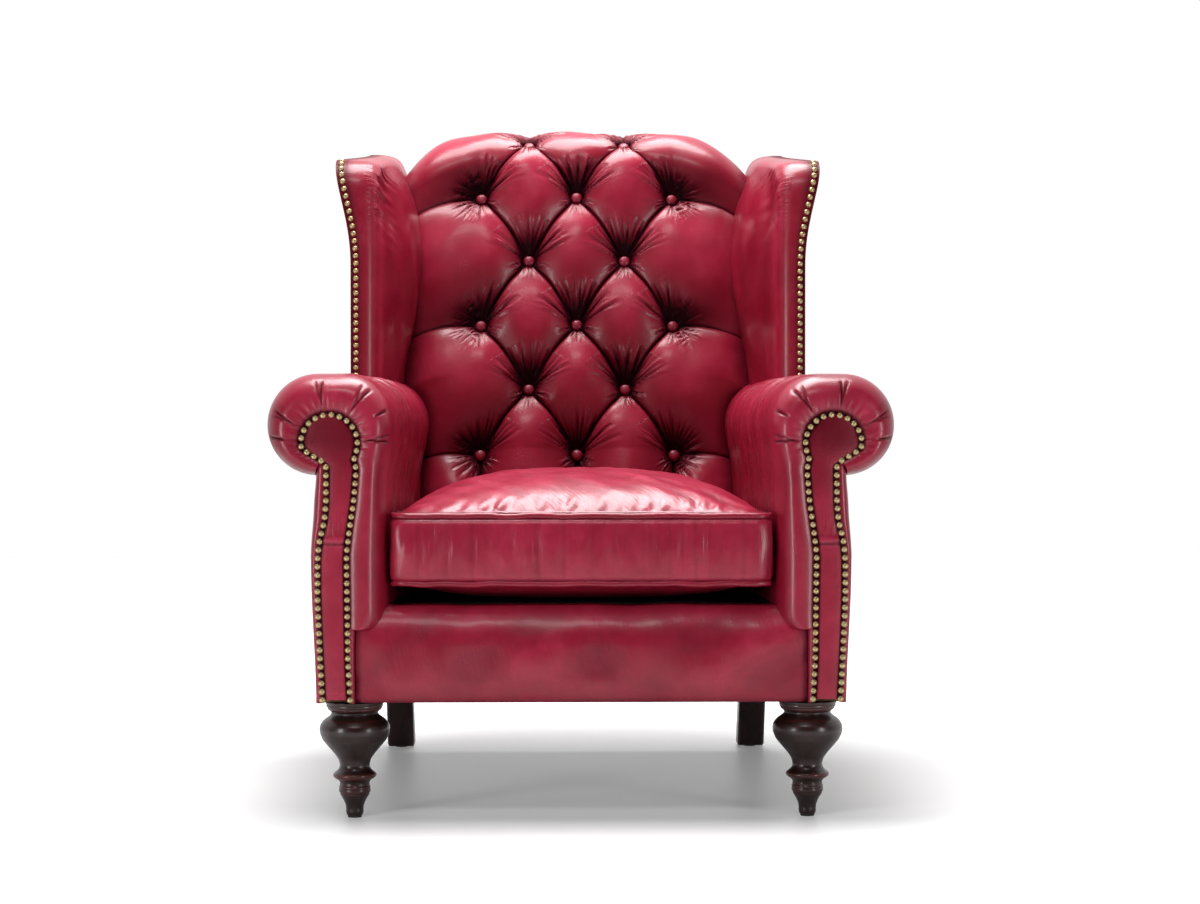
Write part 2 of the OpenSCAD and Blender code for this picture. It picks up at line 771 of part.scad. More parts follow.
module wing_pad(side) {
    color(foam_colour) intersection() {
        on_side(side) difference() {
            intersection() {
                wing_body(skin_gap);
                translate([0, 0, lobe_z]) cube([wing_board_x - soft_gap, chair_depth, overall_h]);
            }
            roll_prism(-soft_gap);
        }
        before_back(soft_t);
    }
}

module inside_wing_cover(side) {
    color(leather) difference() {
        intersection() {
            on_side(side) difference() {
                wing_body(0);
                wing_body(cover_t);
                roll_prism(-soft_gap);
            }
            before_back(back_frame_t);
        }
        // The inner wall stops at the back, and the top runs on over the back post
        difference() {
            between_sides(wing_root_x + cover_t + soft_gap, 0, overall_h);
            before_back(soft_t);
        }
    }
}

module outside_wing_cover(side) {
    color(leather_light) wing_sheet(side, wing_outer_x - cover_t, wing_outer_x);
}

// Arm upholstery

// An arm in its own frame: the roll and the wall with rounded fronts, and the foot beside the border
module arm_body(inset, rear) {
    bottom = arm_base_z - (inset > 0 ? cut : 0);
    foot_bottom = border_bottom - (inset > 0 ? cut : 0);
    foot_inner_x = border_edge_x + soft_gap + inset;
    foot_face = arm_face + inset;
    skin(concat(
        [for (k = [rounding_steps:-1:0])
            let (
                a = 90 * k / rounding_steps,
                depth = arm_face + inset + front_round * (1 - sin(a)))
            [for (p = roll_outline(inset + front_round * (1 - cos(a)))) [p[0], depth, p[1]]]],
        [[for (p = roll_outline(inset)) [p[0], rear, p[1]]]]));
    translate([body_inner_x + inset, arm_face + front_round, bottom])
        cube([arm_body_w - 2 * inset, rear - arm_face - front_round, lobe_z - bottom]);
    translate([body_inner_x + front_round, arm_face + inset, bottom])
        cube([arm_body_w - front_round - inset, front_round + cut, lobe_z - bottom]);
    translate([foot_inner_x, foot_face, foot_bottom])
        cube([body_outer_x - inset - foot_inner_x, post_front - foot_face, bottom - foot_bottom + cut]);
    translate([body_inner_x + front_round, arm_face + front_round, bottom])
        intersection() {
            cylinder(r = front_round - inset, h = lobe_z - bottom, $fn = 48);
            translate([-front_round, -front_round, 0]) cube([front_round, front_round + cut, lobe_z]);
        }
}

module arm_hollow() {
    translate([arm_hollow_x, post_rear, arm_base_z - 2 * cut])
        cube([arm_body_w, chair_depth, lobe_z - arm_rail_h / 2 - arm_base_z + 2 * cut]);
}

// The outer side below the roll belongs to the outside cover
module arm_outer_side() {
    translate([body_outer_x - cover_t - soft_gap, post_front, border_bottom - 2 * cut])
        cube([cover_t + cut, chair_depth, outer_side_top + soft_gap - border_bottom + 2 * cut]);
}
outer_side_top = lobe_z - sqrt(pow(roll_r, 2) - pow(body_outer_x - outer_lobe_x, 2)) - soft_gap;

module arm_pad(side) {
    color(foam_colour) difference() {
        intersection() {
            on_side(side) difference() {
                arm_body(skin_gap, chair_depth);
                translate([0, -cut, 0]) cube([roll_outer_x, post_rear, border_bottom]);
                translate([0, -cut, 0]) cube([border_edge_x + soft_gap + skin_gap, post_rear, arm_base_z]);
                translate([0, post_front, 0]) cube([roll_outer_x, chair_depth, arm_base_z]);
                arm_post_body();
                arm_rail_body();
                arm_liner_body();
                arm_hollow();
                arm_outer_side();
            }
            before_back(soft_t);
        }
        depth_slab(front_rail_setback, chair_depth, 0, rail_top);
    }
}

module inside_arm_cover(side) {
    color(leather) difference() {
        intersection() {
            on_side(side) difference() {
                arm_body(0, chair_depth);
                arm_body(cover_t, chair_depth + cut);
                arm_outer_side();
            }
            before_back(soft_t);
        }
        depth_slab(front_rail_setback, chair_depth, 0, rail_top);
    }
}

// The outside cover runs under the roll, and up behind it to the wing
module outside_arm_cover(side) {
    color(leather_light) difference() {
        intersection() {
            on_side(side)
                translate([body_outer_x - cover_t, post_front + soft_gap, border_bottom])
                    cube([cover_t, chair_depth, lobe_z - border_bottom]);
            before_back(back_frame_t);
        }
        intersection() {
            translate([-far / 2, front_y - cut, outer_side_top]) cube([far, far, far]);
            before_back(end_panel_t + cover_t + soft_gap);
        }
    }
}

module arm_facing(side) {
    color(leather_light) on_side(side)
        run_back(nail_h, arm_face) offset(r = nail_r) polygon(facing_path);
}

// The roll's rear end is closed by its own panel
end_panel_t = back_pad_t + soft_gap;

module arm_end_panel(side) {
    color(leather_light) intersection() {
        on_side(side) difference() {
            run_back(0, chair_depth) polygon(roll_outline(cover_t));
            translate([0, -cut, 0]) cube([wing_board_x + soft_gap, chair_depth + 2 * cut, overall_h]);
        }
        difference() {
            before_back(end_panel_t + cover_t);
            before_back(end_panel_t);
        }
    }
}

// Front border and deck

function border_outline(inset, bottom, depth) =
    let (r = front_round - inset)
    concat(
        [[depth, bottom], [arm_face + inset, bottom]],
        [for (k = [0:lip_steps])
            let (a = 180 - 90 * k / lip_steps)
            [arm_face + front_round + r * cos(a), deck_z + soft_gap - front_round + r * sin(a)]],
        [[depth, deck_z + soft_gap - inset]]);

border_rear = post_rear - spring_clip_l - soft_gap;

module border_pad() {
    color(foam_colour) difference() {
        run_across(border_edge_x - soft_gap) polygon(border_outline(skin_gap, border_bottom, border_rear));
        depth_slab(front_rail_setback, chair_depth, 0, rail_top);
        for (side = [-1, 1]) on_side(side) arm_post_body();
        for (side = [-1, 1]) on_side(side) arm_body(-soft_gap, chair_depth);
    }
}

module border_cover() {
    color(leather) difference() {
        run_across(border_edge_x - soft_gap) polygon(border_outline(0, border_bottom, border_rear));
        run_across(border_edge_x)
            polygon(border_outline(cover_t, border_bottom - cut, post_rear));
        for (side = [-1, 1]) on_side(side) arm_body(-soft_gap, chair_depth);
        for (side = [-1, 1]) on_side(side) arm_post_body();
    }
}

module deck_layer(bottom, top) {
    intersection() {
        depth_slab(post_rear - spring_clip_l, chair_depth, bottom, top);
        between_sides(arm_hollow_x - soft_gap, bottom, top);
        before_back(soft_t);
    }
}

module deck_pad() {
    color(webbing_colour) deck_layer(deck_z - cover_t - deck_pad_t, deck_z - cover_t - soft_gap);
}

module deck_cover() {
    color(black_cloth) deck_layer(deck_z - cover_t, deck_z);
}

module dust_cover() {
    leg_top_r = leg_outline_shares[len(leg_outline_shares) - 1][1] * bulb_r + bolt_gap;
    low = leg_h - cloth_t - cut;
    rear_cut = rear_leg_side / 2 + cut;
    color(black_cloth) difference() {
        intersection() {
            depth_slab(front_rail_setback, seat_depth + back_frame_t, leg_h - cloth_t, leg_h);
            between_sides(rail_outer_x, leg_h - cloth_t, leg_h);
        }
        for (side = [-1, 1]) {
            translate([side * front_leg_x, front_y + front_leg_depth, low])
                cylinder(r = leg_top_r, h = cloth_t + 2 * cut);
            translate([side * rear_leg_x - rear_cut, front_y + rear_leg_depth - rear_cut, low])
                cube([2 * rear_cut, far, cloth_t + 2 * cut]);
        }
    }
}

// Suspension

spring_spread = 2 * (side_x(arm_hollow_x, seat_depth + back_pad_t) - spring_w) / spring_count;

// A flat-wire spring: straight runs across, joined by half-round bends
module seat_spring() {
    run = spring_w - 2 * spring_bend_r;
    bend = spring_step / 2;
    for (k = [0:spring_turns])
        translate([-run / 2, spring_front + (k + 0.5) * spring_step - spring_wire / 2, 0])
            cube([run, spring_wire, spring_wire]);
    for (k = [0:spring_turns - 1])
        translate([(k % 2 == 0 ? 1 : -1) * run / 2, spring_front + (k + 1) * spring_step, 0])
            rotate([0, 0, k % 2 == 0 ? -90 : 90])
                rotate_extrude(angle = 180, $fn = 48)
                    translate([bend - spring_wire / 2, 0])
                        square(spring_wire);
}

module seat_springs() {
    color(steel_colour)
        for (k = [0:spring_count - 1])
            translate([(k - (spring_count - 1) / 2) * spring_spread, front_y, spring_z])
                seat_spring();
}

// Clips hold the first and last run of each spring down on the rails
module spring_clips() {
    color(steel_colour)
        for (k = [0:spring_count - 1], d = [spring_front, spring_rear - spring_step])
            let (x = (k - (spring_count - 1) / 2) * spring_spread - spring_bend_r / 2)
            translate([x, front_y + d, rail_top])
                difference() {
                    cube([spring_bend_r, spring_step, cloth_t + spring_wire + cloth_t]);
                    translate([-cut, (spring_step - spring_wire) / 2, cloth_t])
                        cube([spring_bend_r + 2 * cut, spring_wire, spring_wire]);
                }
}

webbing_rows = 5;
webbing_lap = back_post_t / 4;

module back_webbing() {
    color(webbing_colour)
        for (k = [0:webbing_rows - 1])
            let (s = first_row_s + (post_top_s - webbing_w - first_row_s) * k / (webbing_rows - 1))
            in_back(back_pad_t - webbing_t, back_pad_t)
                translate([-back_frame_half - webbing_lap, s - webbing_w])
                    square([2 * (back_frame_half + webbing_lap), webbing_w]);
}

// Back upholstery

module inside_back_cover() {
    color(leather) between_grids(back_grid(cover_nodes, 0), back_grid(cover_nodes, cover_t));
}

module back_pad() {
    color(foam_colour) difference() {
        between_grids(back_grid(pad_nodes, skin_gap), back_flat_grid(pad_nodes, soft_t - soft_gap));
        for (side = [-1, 1]) on_side(side) roll_prism(-soft_gap);
    }
}

module crest_pad() {
    color(foam_colour) between_grids(crest_grid(skin_gap, false), crest_grid(skin_gap, true));
}

module outside_back_cover() {
    t = back_frame_t + soft_gap;
    half = side_x(wing_root_x, seat_depth + back_pad_t);
    shoulder = crest_s - crest_drop - soft_gap;
    color(leather_light) difference() {
        intersection() {
            back_slab(t, t + cover_t, border_bottom, crest_s, far / 2);
            between_sides(body_outer_x - cover_t, border_bottom, overall_h);
        }
        in_back(t - cut, t + cover_t + cut)
            polygon(concat(
                [[-far / 2, crest_s + cut], [-far / 2, shoulder]],
                [for (k = [0:back_columns])
                    let (u = half * (2 * k / back_columns - 1))
                    [u, crest_s - crest_fall(u) - soft_gap]],
                [[far / 2, shoulder], [far / 2, crest_s + cut]]));
    }
}

// Depth of a pit's wall at the rim of its button, where the wall is steepest
pit_slope = tuft_depth * norm([
    tuft(column_step, first_row_s) / column_step,
    tuft(0, first_row_s + row_step) / row_step]);
button_seat = tuft_depth - button_r * pit_slope;
button_stem_r = 2;

module covered_button() {
    base = tuft_depth - button_seat;
    edge_h = button_h / 3;
    translate([0, 0, base]) cylinder(r = button_r, h = edge_h, $fn = 32);
    translate([0, 0, base + edge_h])
        cylinder(r1 = button_r, r2 = button_r / 2, h = button_h - edge_h, $fn = 32);
    translate([0, 0, button_stem_r]) cylinder(r = button_stem_r, h = base - button_stem_r, $fn = 32);
}

module back_buttons() {
    color(leather_light)
        for (k = [0:rows - 1], column = k % 2 == 0 ? [-1, 0, 1] : [-0.5, 0.5])
            let (
                u = column * button_pitch,
                s = first_row_s + k * row_pitch,
                p = back_point(u, s, tuft_depth),
                over = back_point(u, s, 0),
                lean = atan2(over[1] - p[1], p[0] - over[0]))
            translate([u, front_y + p[0], p[1]])
                rotate([90 - lean, 0, 0])
                    translate([0, 0, soft_gap])
                        covered_button();
}

// Nails

nail_waist_share = 0.8;
nail_crown_share = 0.35;

module nail() {
    half_h = nail_h / 2;
    rotate([90, 0, 0]) {
        cylinder(r1 = nail_r, r2 = nail_waist_share * nail_r, h = half_h, $fn = 24);
        translate([0, 0, half_h])
            cylinder(r1 = nail_waist_share * nail_r, r2 = nail_crown_share * nail_r, h = half_h, $fn = 24);
    }
}

module arm_nails() {
    length = reach(facing_path, len(facing_path) - 1);
    count = floor(length / nail_pitch);
    color(brass_colour)
        for (side = [-1, 1])
            on_side(side)
                for (k = [0:count])
                    let (p = point_at(facing_path, length * k / count))
                    translate([p[0], nail_h, p[1]]) nail();
}

module wing_nails() {
    bottom = arm_h + 2 * nail_r;
    count = floor((wing_tip_h - wing_tip_r - bottom) / nail_pitch);
    color(brass_colour)
        for (side = [-1, 1])
            on_side(side)
                for (k = [0:count])
                    translate([wing_outer_x - wing_edge_t / 2, wing_front, bottom + k * nail_pitch]) nail();
}

// Legs

rear_leg_depth = seat_depth + back_pad_t + back_post_t / 2;
rear_leg_x = side_x(body_outer_x, rear_leg_depth) - rear_leg_in;
rear_foot_depth = rear_leg_depth + rear_leg_splay;

module leg_bolt_hole(side, x, depth) {
    translate([side * x, front_y + depth, leg_h - bolt_reach])
        cylinder(r = bolt_r + bolt_gap, h = 2 * bolt_reach);
}

module front_leg(side) {
    color(dark_wood) difference() {
        translate([side * front_leg_x, front_y + front_leg_depth, glide_h])
            rotate_extrude($fn = 96)
                polygon(concat(
                    [[0, 0]],
                    [for (p = leg_outline_shares) [p[1] * bulb_r, p[0] * (leg_h - glide_h)]],
                    [[0, leg_h - glide_h]]));
        leg_bolt_hole(side, front_leg_x, front_leg_depth);
    }
}

module rear_leg(side) {
    top = rear_leg_depth - rear_leg_side / 2;
    foot = rear_foot_depth - rear_foot_side / 2;
    color(dark_wood) difference() {
        translate([side * rear_leg_x - rear_leg_side / 2, front_y, 0])
            rotate([90, 0, 90])
                linear_extrude(rear_leg_side)
                    polygon([
                        [foot, glide_h], [foot + rear_foot_side, glide_h],
                        [top + rear_leg_side, leg_h], [top, leg_h]]);
        leg_bolt_hole(side, rear_leg_x, rear_leg_depth);
    }
}

module leg_bolts() {
    color(steel_colour)
        for (side = [-1, 1], place = [[front_leg_x, front_leg_depth], [rear_leg_x, rear_leg_depth]])
            translate([side * place[0], front_y + place[1], leg_h - bolt_reach])
                cylinder(r = bolt_r, h = 2 * bolt_reach - bolt_gap);
}

module glides() {
    color(black_cloth)
        for (side = [-1, 1], place = [[front_leg_x, front_leg_depth], [rear_leg_x, rear_foot_depth]])
            translate([side * place[0], front_y + place[1], 0])
                cylinder(r = glide_r, h = glide_h);
}

// Seat cushion

module cushion_foam() {
    inset = panel_inset + soft_gap;
    color(foam_colour)
        between_grids(cushion_grid(inset, skin_gap, false), cushion_grid(inset, skin_gap, true));
}

module cushion_top() {
    color(leather_light)
        between_grids(cushion_grid(panel_inset, cover_t, true), cushion_grid(panel_inset, 0, true));
}

module cushion_bottom() {
    color(leather)
        between_grids(cushion_grid(panel_inset, 0, false), cushion_grid(panel_inset, cover_t, false));
}

module cushion_boxing() {
    low = bottom_piping_z + piping_r + soft_gap;
    high = top_piping_z - piping_r - soft_gap;
    color(leather)
        closed_tube([
            cushion_ring(boxing_inset, low), cushion_ring(boxing_inset, high),
            cushion_ring(boxing_inset + cover_t, high), cushion_ring(boxing_inset + cover_t, low)]);
}

module cushion_piping() {
    color(leather)
        for (z = [bottom_piping_z, top_piping_z])
            closed_tube([for (k = [0:piping_sides - 1])
                let (a = 360 * k / piping_sides)
                cushion_ring(piping_r * (1 - cos(a)), z + piping_r * sin(a))]);
}

zip_l = 2 * (cushion_half(cushion_rear, 1, 0) - zip_corner_room);
zip_z = (bottom_piping_z + top_piping_z) / 2;
zip_depth = cushion_rear - boxing_inset + soft_gap;
teeth_t = 2 * cloth_t;

module cushion_zip() {
    color(black_cloth)
        translate([0, front_y + zip_depth, zip_z]) {
            translate([-zip_l / 2, 0, -zip_tape_w / 2]) cube([zip_l, cloth_t, zip_tape_w]);
            translate([-zip_l / 2, cloth_t, -zip_teeth_w / 2]) cube([zip_l, teeth_t, zip_teeth_w]);
        }
}

module zip_slider() {
    color(steel_colour)
        translate([-zip_l / 2, front_y + zip_depth + cloth_t + teeth_t + soft_gap, zip_z - zip_teeth_w])
            cube([slider_l, slider_t, 2 * zip_teeth_w]);
}

front_rail();
rear_rail();
side_rail(-1);  // side_rail_left
side_rail(1);  // side_rail_right
corner_blocks();
arm_post(-1);  // arm_post_left
arm_post(1);  // arm_post_right
arm_rail(-1);  // arm_rail_left
arm_rail(1);  // arm_rail_right
arm_liners();
back_post(-1);  // back_post_left
back_post(1);  // back_post_right
crest_rail();
back_lower_rail();
wing_board(-1);  // wing_board_left
wing_board(1);  // wing_board_right
seat_springs();
spring_clips();
back_webbing();
deck_pad();
deck_cover();
dust_cover();
border_pad();
border_cover();
arm_pad(-1);  // arm_pad_left
arm_pad(1);  // arm_pad_right
inside_arm_cover(-1);  // inside_arm_cover_left
inside_arm_cover(1);  // inside_arm_cover_right
outside_arm_cover(-1);  // outside_arm_cover_left
outside_arm_cover(1);  // outside_arm_cover_right
arm_facing(-1);  // arm_facing_left
arm_facing(1);  // arm_facing_right
arm_end_panel(-1);  // arm_end_panel_left
arm_end_panel(1);  // arm_end_panel_right
wing_pad(-1);  // wing_pad_left
wing_pad(1);  // wing_pad_right
inside_wing_cover(-1);  // inside_wing_cover_left
inside_wing_cover(1);  // inside_wing_cover_right
outside_wing_cover(-1);  // outside_wing_cover_left
outside_wing_cover(1);  // outside_wing_cover_right
back_pad();
crest_pad();
inside_back_cover();
outside_back_cover();
back_buttons();
arm_nails();
wing_nails();
front_leg(-1);  // front_leg_left
front_leg(1);  // front_leg_right
rear_leg(-1);  // rear_leg_left
rear_leg(1);  // rear_leg_right
leg_bolts();
glides();
cushion_foam();
cushion_top();
cushion_bottom();
cushion_boxing();
cushion_piping();
cushion_zip();
zip_slider();
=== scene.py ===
"""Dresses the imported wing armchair: buttoned leather back, rolled arms, wings, cushion, nails and legs.

Every shape is worked out in metres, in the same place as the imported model.
Depths run back from the arm fronts. An arm has its own frame, turned in by the toe-in.
"""

import json
import math
from types import SimpleNamespace

import bmesh
import bpy
import numpy as np
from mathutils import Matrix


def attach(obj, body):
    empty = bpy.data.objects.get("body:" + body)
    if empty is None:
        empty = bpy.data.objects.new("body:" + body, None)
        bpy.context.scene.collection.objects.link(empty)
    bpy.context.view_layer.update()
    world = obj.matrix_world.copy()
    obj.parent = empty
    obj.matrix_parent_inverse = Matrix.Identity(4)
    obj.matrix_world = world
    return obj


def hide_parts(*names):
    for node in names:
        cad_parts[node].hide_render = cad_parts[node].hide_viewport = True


bl_info = {
    "name": "Buttoned Wing Armchair",
    "version": (1, 0, 0),
    "blender": (4, 5, 0),
    "location": "View3D > Sidebar > Armchair",
    "description": "Makes the leather, nails, legs and studio of a buttoned wing armchair",
    "category": "Object",
}

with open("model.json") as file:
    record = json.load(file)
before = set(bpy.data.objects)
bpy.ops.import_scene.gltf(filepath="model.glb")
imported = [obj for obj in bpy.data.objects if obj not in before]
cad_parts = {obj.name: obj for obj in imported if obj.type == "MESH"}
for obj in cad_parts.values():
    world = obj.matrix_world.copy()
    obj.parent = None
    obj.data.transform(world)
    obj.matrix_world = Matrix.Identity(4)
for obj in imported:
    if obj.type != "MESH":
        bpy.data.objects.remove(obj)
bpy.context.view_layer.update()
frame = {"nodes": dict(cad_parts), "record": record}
SIDES = {"left": -1, "right": 1}
MILLIMETRE = 0.001
TINY = 1e-6


def length(name, description, value):
    """A length property, in metres."""
    return bpy.props.FloatProperty(name=name, description=description, default=value, unit="LENGTH")


def angle(name, description, degrees):
    """An angle property, from degrees."""
    return bpy.props.FloatProperty(
        name=name, description=description, default=math.radians(degrees), subtype="ANGLE")


def colour(name, description, value):
    """A colour property."""
    return bpy.props.FloatVectorProperty(
        name=name, description=description, default=value, subtype="COLOR", min=0.0, max=1.0)


class ChairSizes(bpy.types.PropertyGroup):
    """Sizes of the armchair."""

    overall_width: length("Overall width", "Width across the arm rolls", 0.890)
    overall_height: length("Overall height", "Height of the back's crest", 1.058)
    seat_depth: length("Seat depth", "From the arm fronts to the back", 0.560)
    toe_in: angle("Toe-in", "Angle of each arm towards the rear", 1.8)
    leg_height: length("Leg height", "Height of the legs", 0.165)
    deck_height: length("Deck height", "Height of the deck under the cushion", 0.302)
    arm_height: length("Arm height", "Height of the top of the arms", 0.629)
    arm_thickness: length("Arm thickness", "Thickness of an arm below its roll", 0.100)
    roll_radius: length("Roll radius", "Radius of the arm rolls", 0.072)
    roll_overhang: length("Roll overhang", "Overhang of a roll past the arm's outer side", 0.069)
    roll_inner_overhang: length("Inner overhang", "Overhang of a roll past the arm's inner side", 0.011)
    wing_front: length("Wing front", "Depth of the front edge of the wings", 0.430)
    wing_height: length("Wing height", "Height of the wings' front tips", 0.978)
    wing_flare: length("Wing flare", "How far the tips of the wings lean outwards", 0.026)
    back_rake: angle("Back rake", "Lean of the back", 11.0)
    tuft_depth: length("Tuft depth", "Depth of the buttons below the puffs", 0.036)
    button_radius: length("Button radius", "Radius of a covered button", 0.0095)
    nail_radius: length("Nail radius", "Radius of a nail head", 0.0049)
    nail_spacing: length("Nail spacing", "Distance between nails", 0.0116)
    piping_radius: length("Piping radius", "Radius of the cushion's piping", 0.0045)
    bulb_radius: length("Leg bulb radius", "Largest radius of a front leg", 0.050)


class ChairColours(bpy.types.PropertyGroup):
    """Colours of the armchair's finishes."""

    leather: colour("Leather", "Main colour of the leather", (0.215, 0.0042, 0.019))
    # The colour of the folds is painted shade in creases, pits, hollows and corners, and is also the colour
    # of the cracks.
    leather_shade_and_cracks: colour("Leather in the folds", "Colour left in the creases", (0.012, 0.0004, 0.0020))
    # The light colour is partly rub-off and partly painted highlight on lit crests and tops.
    leather_rubbed_and_highlit: colour("Rubbed leather", "Colour where the leather is rubbed", (0.460, 0.026, 0.070))
    wood: colour("Leg wood", "Colour of the stained legs", (0.0200, 0.0052, 0.0044))
    # The colour on the edges of the turnings is partly rub-off and partly painted highlight.
    wood_worn_and_highlit: colour("Worn leg wood", "Colour on the edges of the turnings", (0.075, 0.013, 0.010))


def chair_shape():
    """Works out the lengths that the pieces share from the sizes."""
    sizes = bpy.context.scene.chair_sizes
    shape = SimpleNamespace(
        toe=sizes.toe_in, seat_depth=sizes.seat_depth, rake=sizes.back_rake, tuft=sizes.tuft_depth,
        roll_r=sizes.roll_radius, leg_h=sizes.leg_height, deck_z=sizes.deck_height,
        arm_top=sizes.arm_height, wing_front=sizes.wing_front, wing_top=sizes.wing_height,
        wing_flare=sizes.wing_flare, nail_r=sizes.nail_radius, piping_r=sizes.piping_radius,
        nail_spacing=sizes.nail_spacing, button_r=sizes.button_radius, bulb_r=sizes.bulb_radius)
    shape.roll_outer = sizes.overall_width / 2
    shape.body_outer = shape.roll_outer - sizes.roll_overhang
    shape.body_inner = shape.body_outer - sizes.arm_thickness
    shape.roll_inner = shape.body_inner - sizes.roll_inner_overhang
    shape.outer_lobe = shape.roll_outer - shape.roll_r
    shape.inner_lobe = shape.roll_inner + shape.roll_r
    shape.lobe_z = shape.arm_top - shape.roll_r
    shape.arm_face = 0.009
    shape.loop_r = 0.040
    shape.loop_x = shape.body_outer - 0.023
    shape.loop_z = shape.lobe_z - 0.026
    shape.turn_x = shape.loop_x - shape.loop_r
    shape.wing_outer = shape.body_outer - 0.004
    shape.wing_root = shape.wing_outer - 0.077
    shape.front_leg_x = shape.body_outer - 0.054
    shape.border_edge = shape.front_leg_x - shape.nail_r
    shape.border_bottom = shape.leg_h + 0.003
    shape.panel_bottom = shape.leg_h + 0.0005
    shape.foot_z = 0.003
    shape.bend_rise = 0.128
    shape.bend_z = shape.deck_z + shape.bend_rise
    shape.pad_t = 0.140
    shape.frame_t = shape.pad_t + 0.045
    shape.rear_cover = shape.frame_t + 0.0033
    shape.crest_half = shape.rear_cover / 2
    shape.crest_rise = 0.085
    shape.crest_drop = 0.042
    shape.lean, shape.upright = math.sin(shape.rake), math.cos(shape.rake)
    shape.crest_s = (
        sizes.overall_height - shape.bend_z + shape.crest_half * shape.lean
        - math.hypot(shape.crest_rise * shape.upright, shape.crest_half * shape.lean)) / shape.upright
    shape.crest_end = shape.crest_s + math.pi * (shape.crest_half + shape.crest_rise) / 2
    depth = (shape.seat_depth + shape.crest_s * shape.lean + shape.crest_half * shape.upright
             + math.hypot(shape.crest_rise * shape.lean, shape.crest_half * shape.upright))
    shape.front_y = -depth / 2
    shape.shoulder = side_x(shape, shape.wing_root, shape.seat_depth)
    shape.first_row = 0.083
    shape.rows = 6
    shape.pitch = shape.shoulder - 0.1174
    shape.row_pitch = (shape.crest_s + 0.062 - shape.first_row) / (shape.rows - 1)
    shape.last_row = shape.first_row + (shape.rows - 1) * shape.row_pitch
    return shape


def side_x(shape, across, depth):
    """Distance from the middle of the chair of a plane of an arm's own frame, at a depth:
    turn + (across - turn) / cos(toe) - depth * tan(toe)."""
    return (shape.turn_x + (across - shape.turn_x) / math.cos(shape.toe)
            - depth * math.tan(shape.toe))


def from_arm(shape, across, depth, height):
    """Turns points of the right arm's own frame in by the toe-in about the turning point."""
    across, depth, height = np.broadcast_arrays(across, depth, height)
    out = across - shape.turn_x
    x = shape.turn_x + out * math.cos(shape.toe) - depth * math.sin(shape.toe)
    y = shape.front_y + out * math.sin(shape.toe) + depth * math.cos(shape.toe)
    return np.stack([x, y, height], axis=-1)


def stacked(*parts):
    """Values that are spread to one shape and set side by side on a last axis."""
    return np.stack(np.broadcast_arrays(*parts), axis=-1)


def limited(value):
    """A value held between 0 and 1."""
    return np.clip(value, 0, 1)


def ease(value, low, high):
    """Smooth step: 0 below low, 1 above high, and 3t^2 - 2t^3 between."""
    t = limited((value - low) / (high - low))
    return t * t * (3 - 2 * t)


def hump(value, middle, width):
    """Bell: e to the minus square of the distance from the middle over the width."""
    return np.exp(-((value - middle) / width) ** 2)


def ripples(first, second, seed, pitch_first, pitch_second, waves=14):
    """Irregular soft waves, about -1 to 1: a sum of cosines in two coordinates, with seeded
    pitches, directions and phases."""
    chance = np.random.default_rng(seed)
    total = np.zeros(np.broadcast(first, second).shape)
    for _ in range(waves):
        one = 2 * math.pi / pitch_first * chance.uniform(0.55, 1.6) * chance.choice([-1, 1])
        two = 2 * math.pi / pitch_second * chance.uniform(0.2, 1.4) * chance.choice([-1, 1])
        total = total + np.cos(one * first + two * second + chance.uniform(0, 2 * math.pi))
    return total / math.sqrt(waves / 2) / 1.6


def unit(vectors):
    """Vectors on the last axis, drawn to length 1."""
    return vectors / np.maximum(np.linalg.norm(vectors, axis=-1, keepdims=True), TINY ** 2)


def distances(path):
    """How far along a path each of its points lies."""
    return np.concatenate([[0], np.cumsum(np.linalg.norm(np.diff(path, axis=0), axis=1))])


def normals_of(points):
    """Unit normals of a grid of points: the cross product of its two central differences."""
    return unit(np.cross(np.gradient(points, axis=1), np.gradient(points, axis=0)))


def mirrored(points, side):
    """Points of the right side, or their mirror image for the left."""
    return points * np.array([side, 1.0, 1.0])


def push(points, amount):
    """Moves each point of a grid along its normal by an amount."""
    return points + normals_of(points) * np.asarray(amount)[..., None]


def patch(points, flip=False, split=None, **layers):
    """A grid of points with values on it. Its faces look along columns x rows, or against with flip.
    Split is true for a cell cut along its rising diagonal and false along its falling one."""
    return SimpleNamespace(points=points, flip=flip, split=split, layers=layers)


def patch_faces(part, start):
    """Corner numbers of a patch's faces: four to a cell, or two triangles where it says how to split."""
    rows, columns = part.points.shape[:2]
    index = start + np.arange(rows * columns).reshape(rows, columns)
    a, b, c, d = index[:-1, :-1], index[:-1, 1:], index[1:, 1:], index[1:, :-1]
    turn = -1 if part.flip else 1
    if part.split is None:
        return np.stack([a, b, c, d], axis=-1).reshape(-1, 4)[:, ::turn], np.zeros((0, 3), int)
    rising = part.split[..., None]
    one = np.where(rising, np.stack([a, b, c], -1), np.stack([a, b, d], -1)).reshape(-1, 3)
    two = np.where(rising, np.stack([a, c, d], -1), np.stack([b, c, d], -1)).reshape(-1, 3)
    return np.zeros((0, 4), int), np.concatenate([one, two])[:, ::turn]


def set_layer(mesh, name, values):
    """Puts a value or a vector on every point of a mesh as an attribute."""
    kind, field = ("FLOAT_VECTOR", "vector") if values.shape[-1] == 3 else ("FLOAT", "value")
    attribute = mesh.attributes.new(name, kind, "POINT")
    attribute.data.foreach_set(field, values.astype(np.float32).ravel())


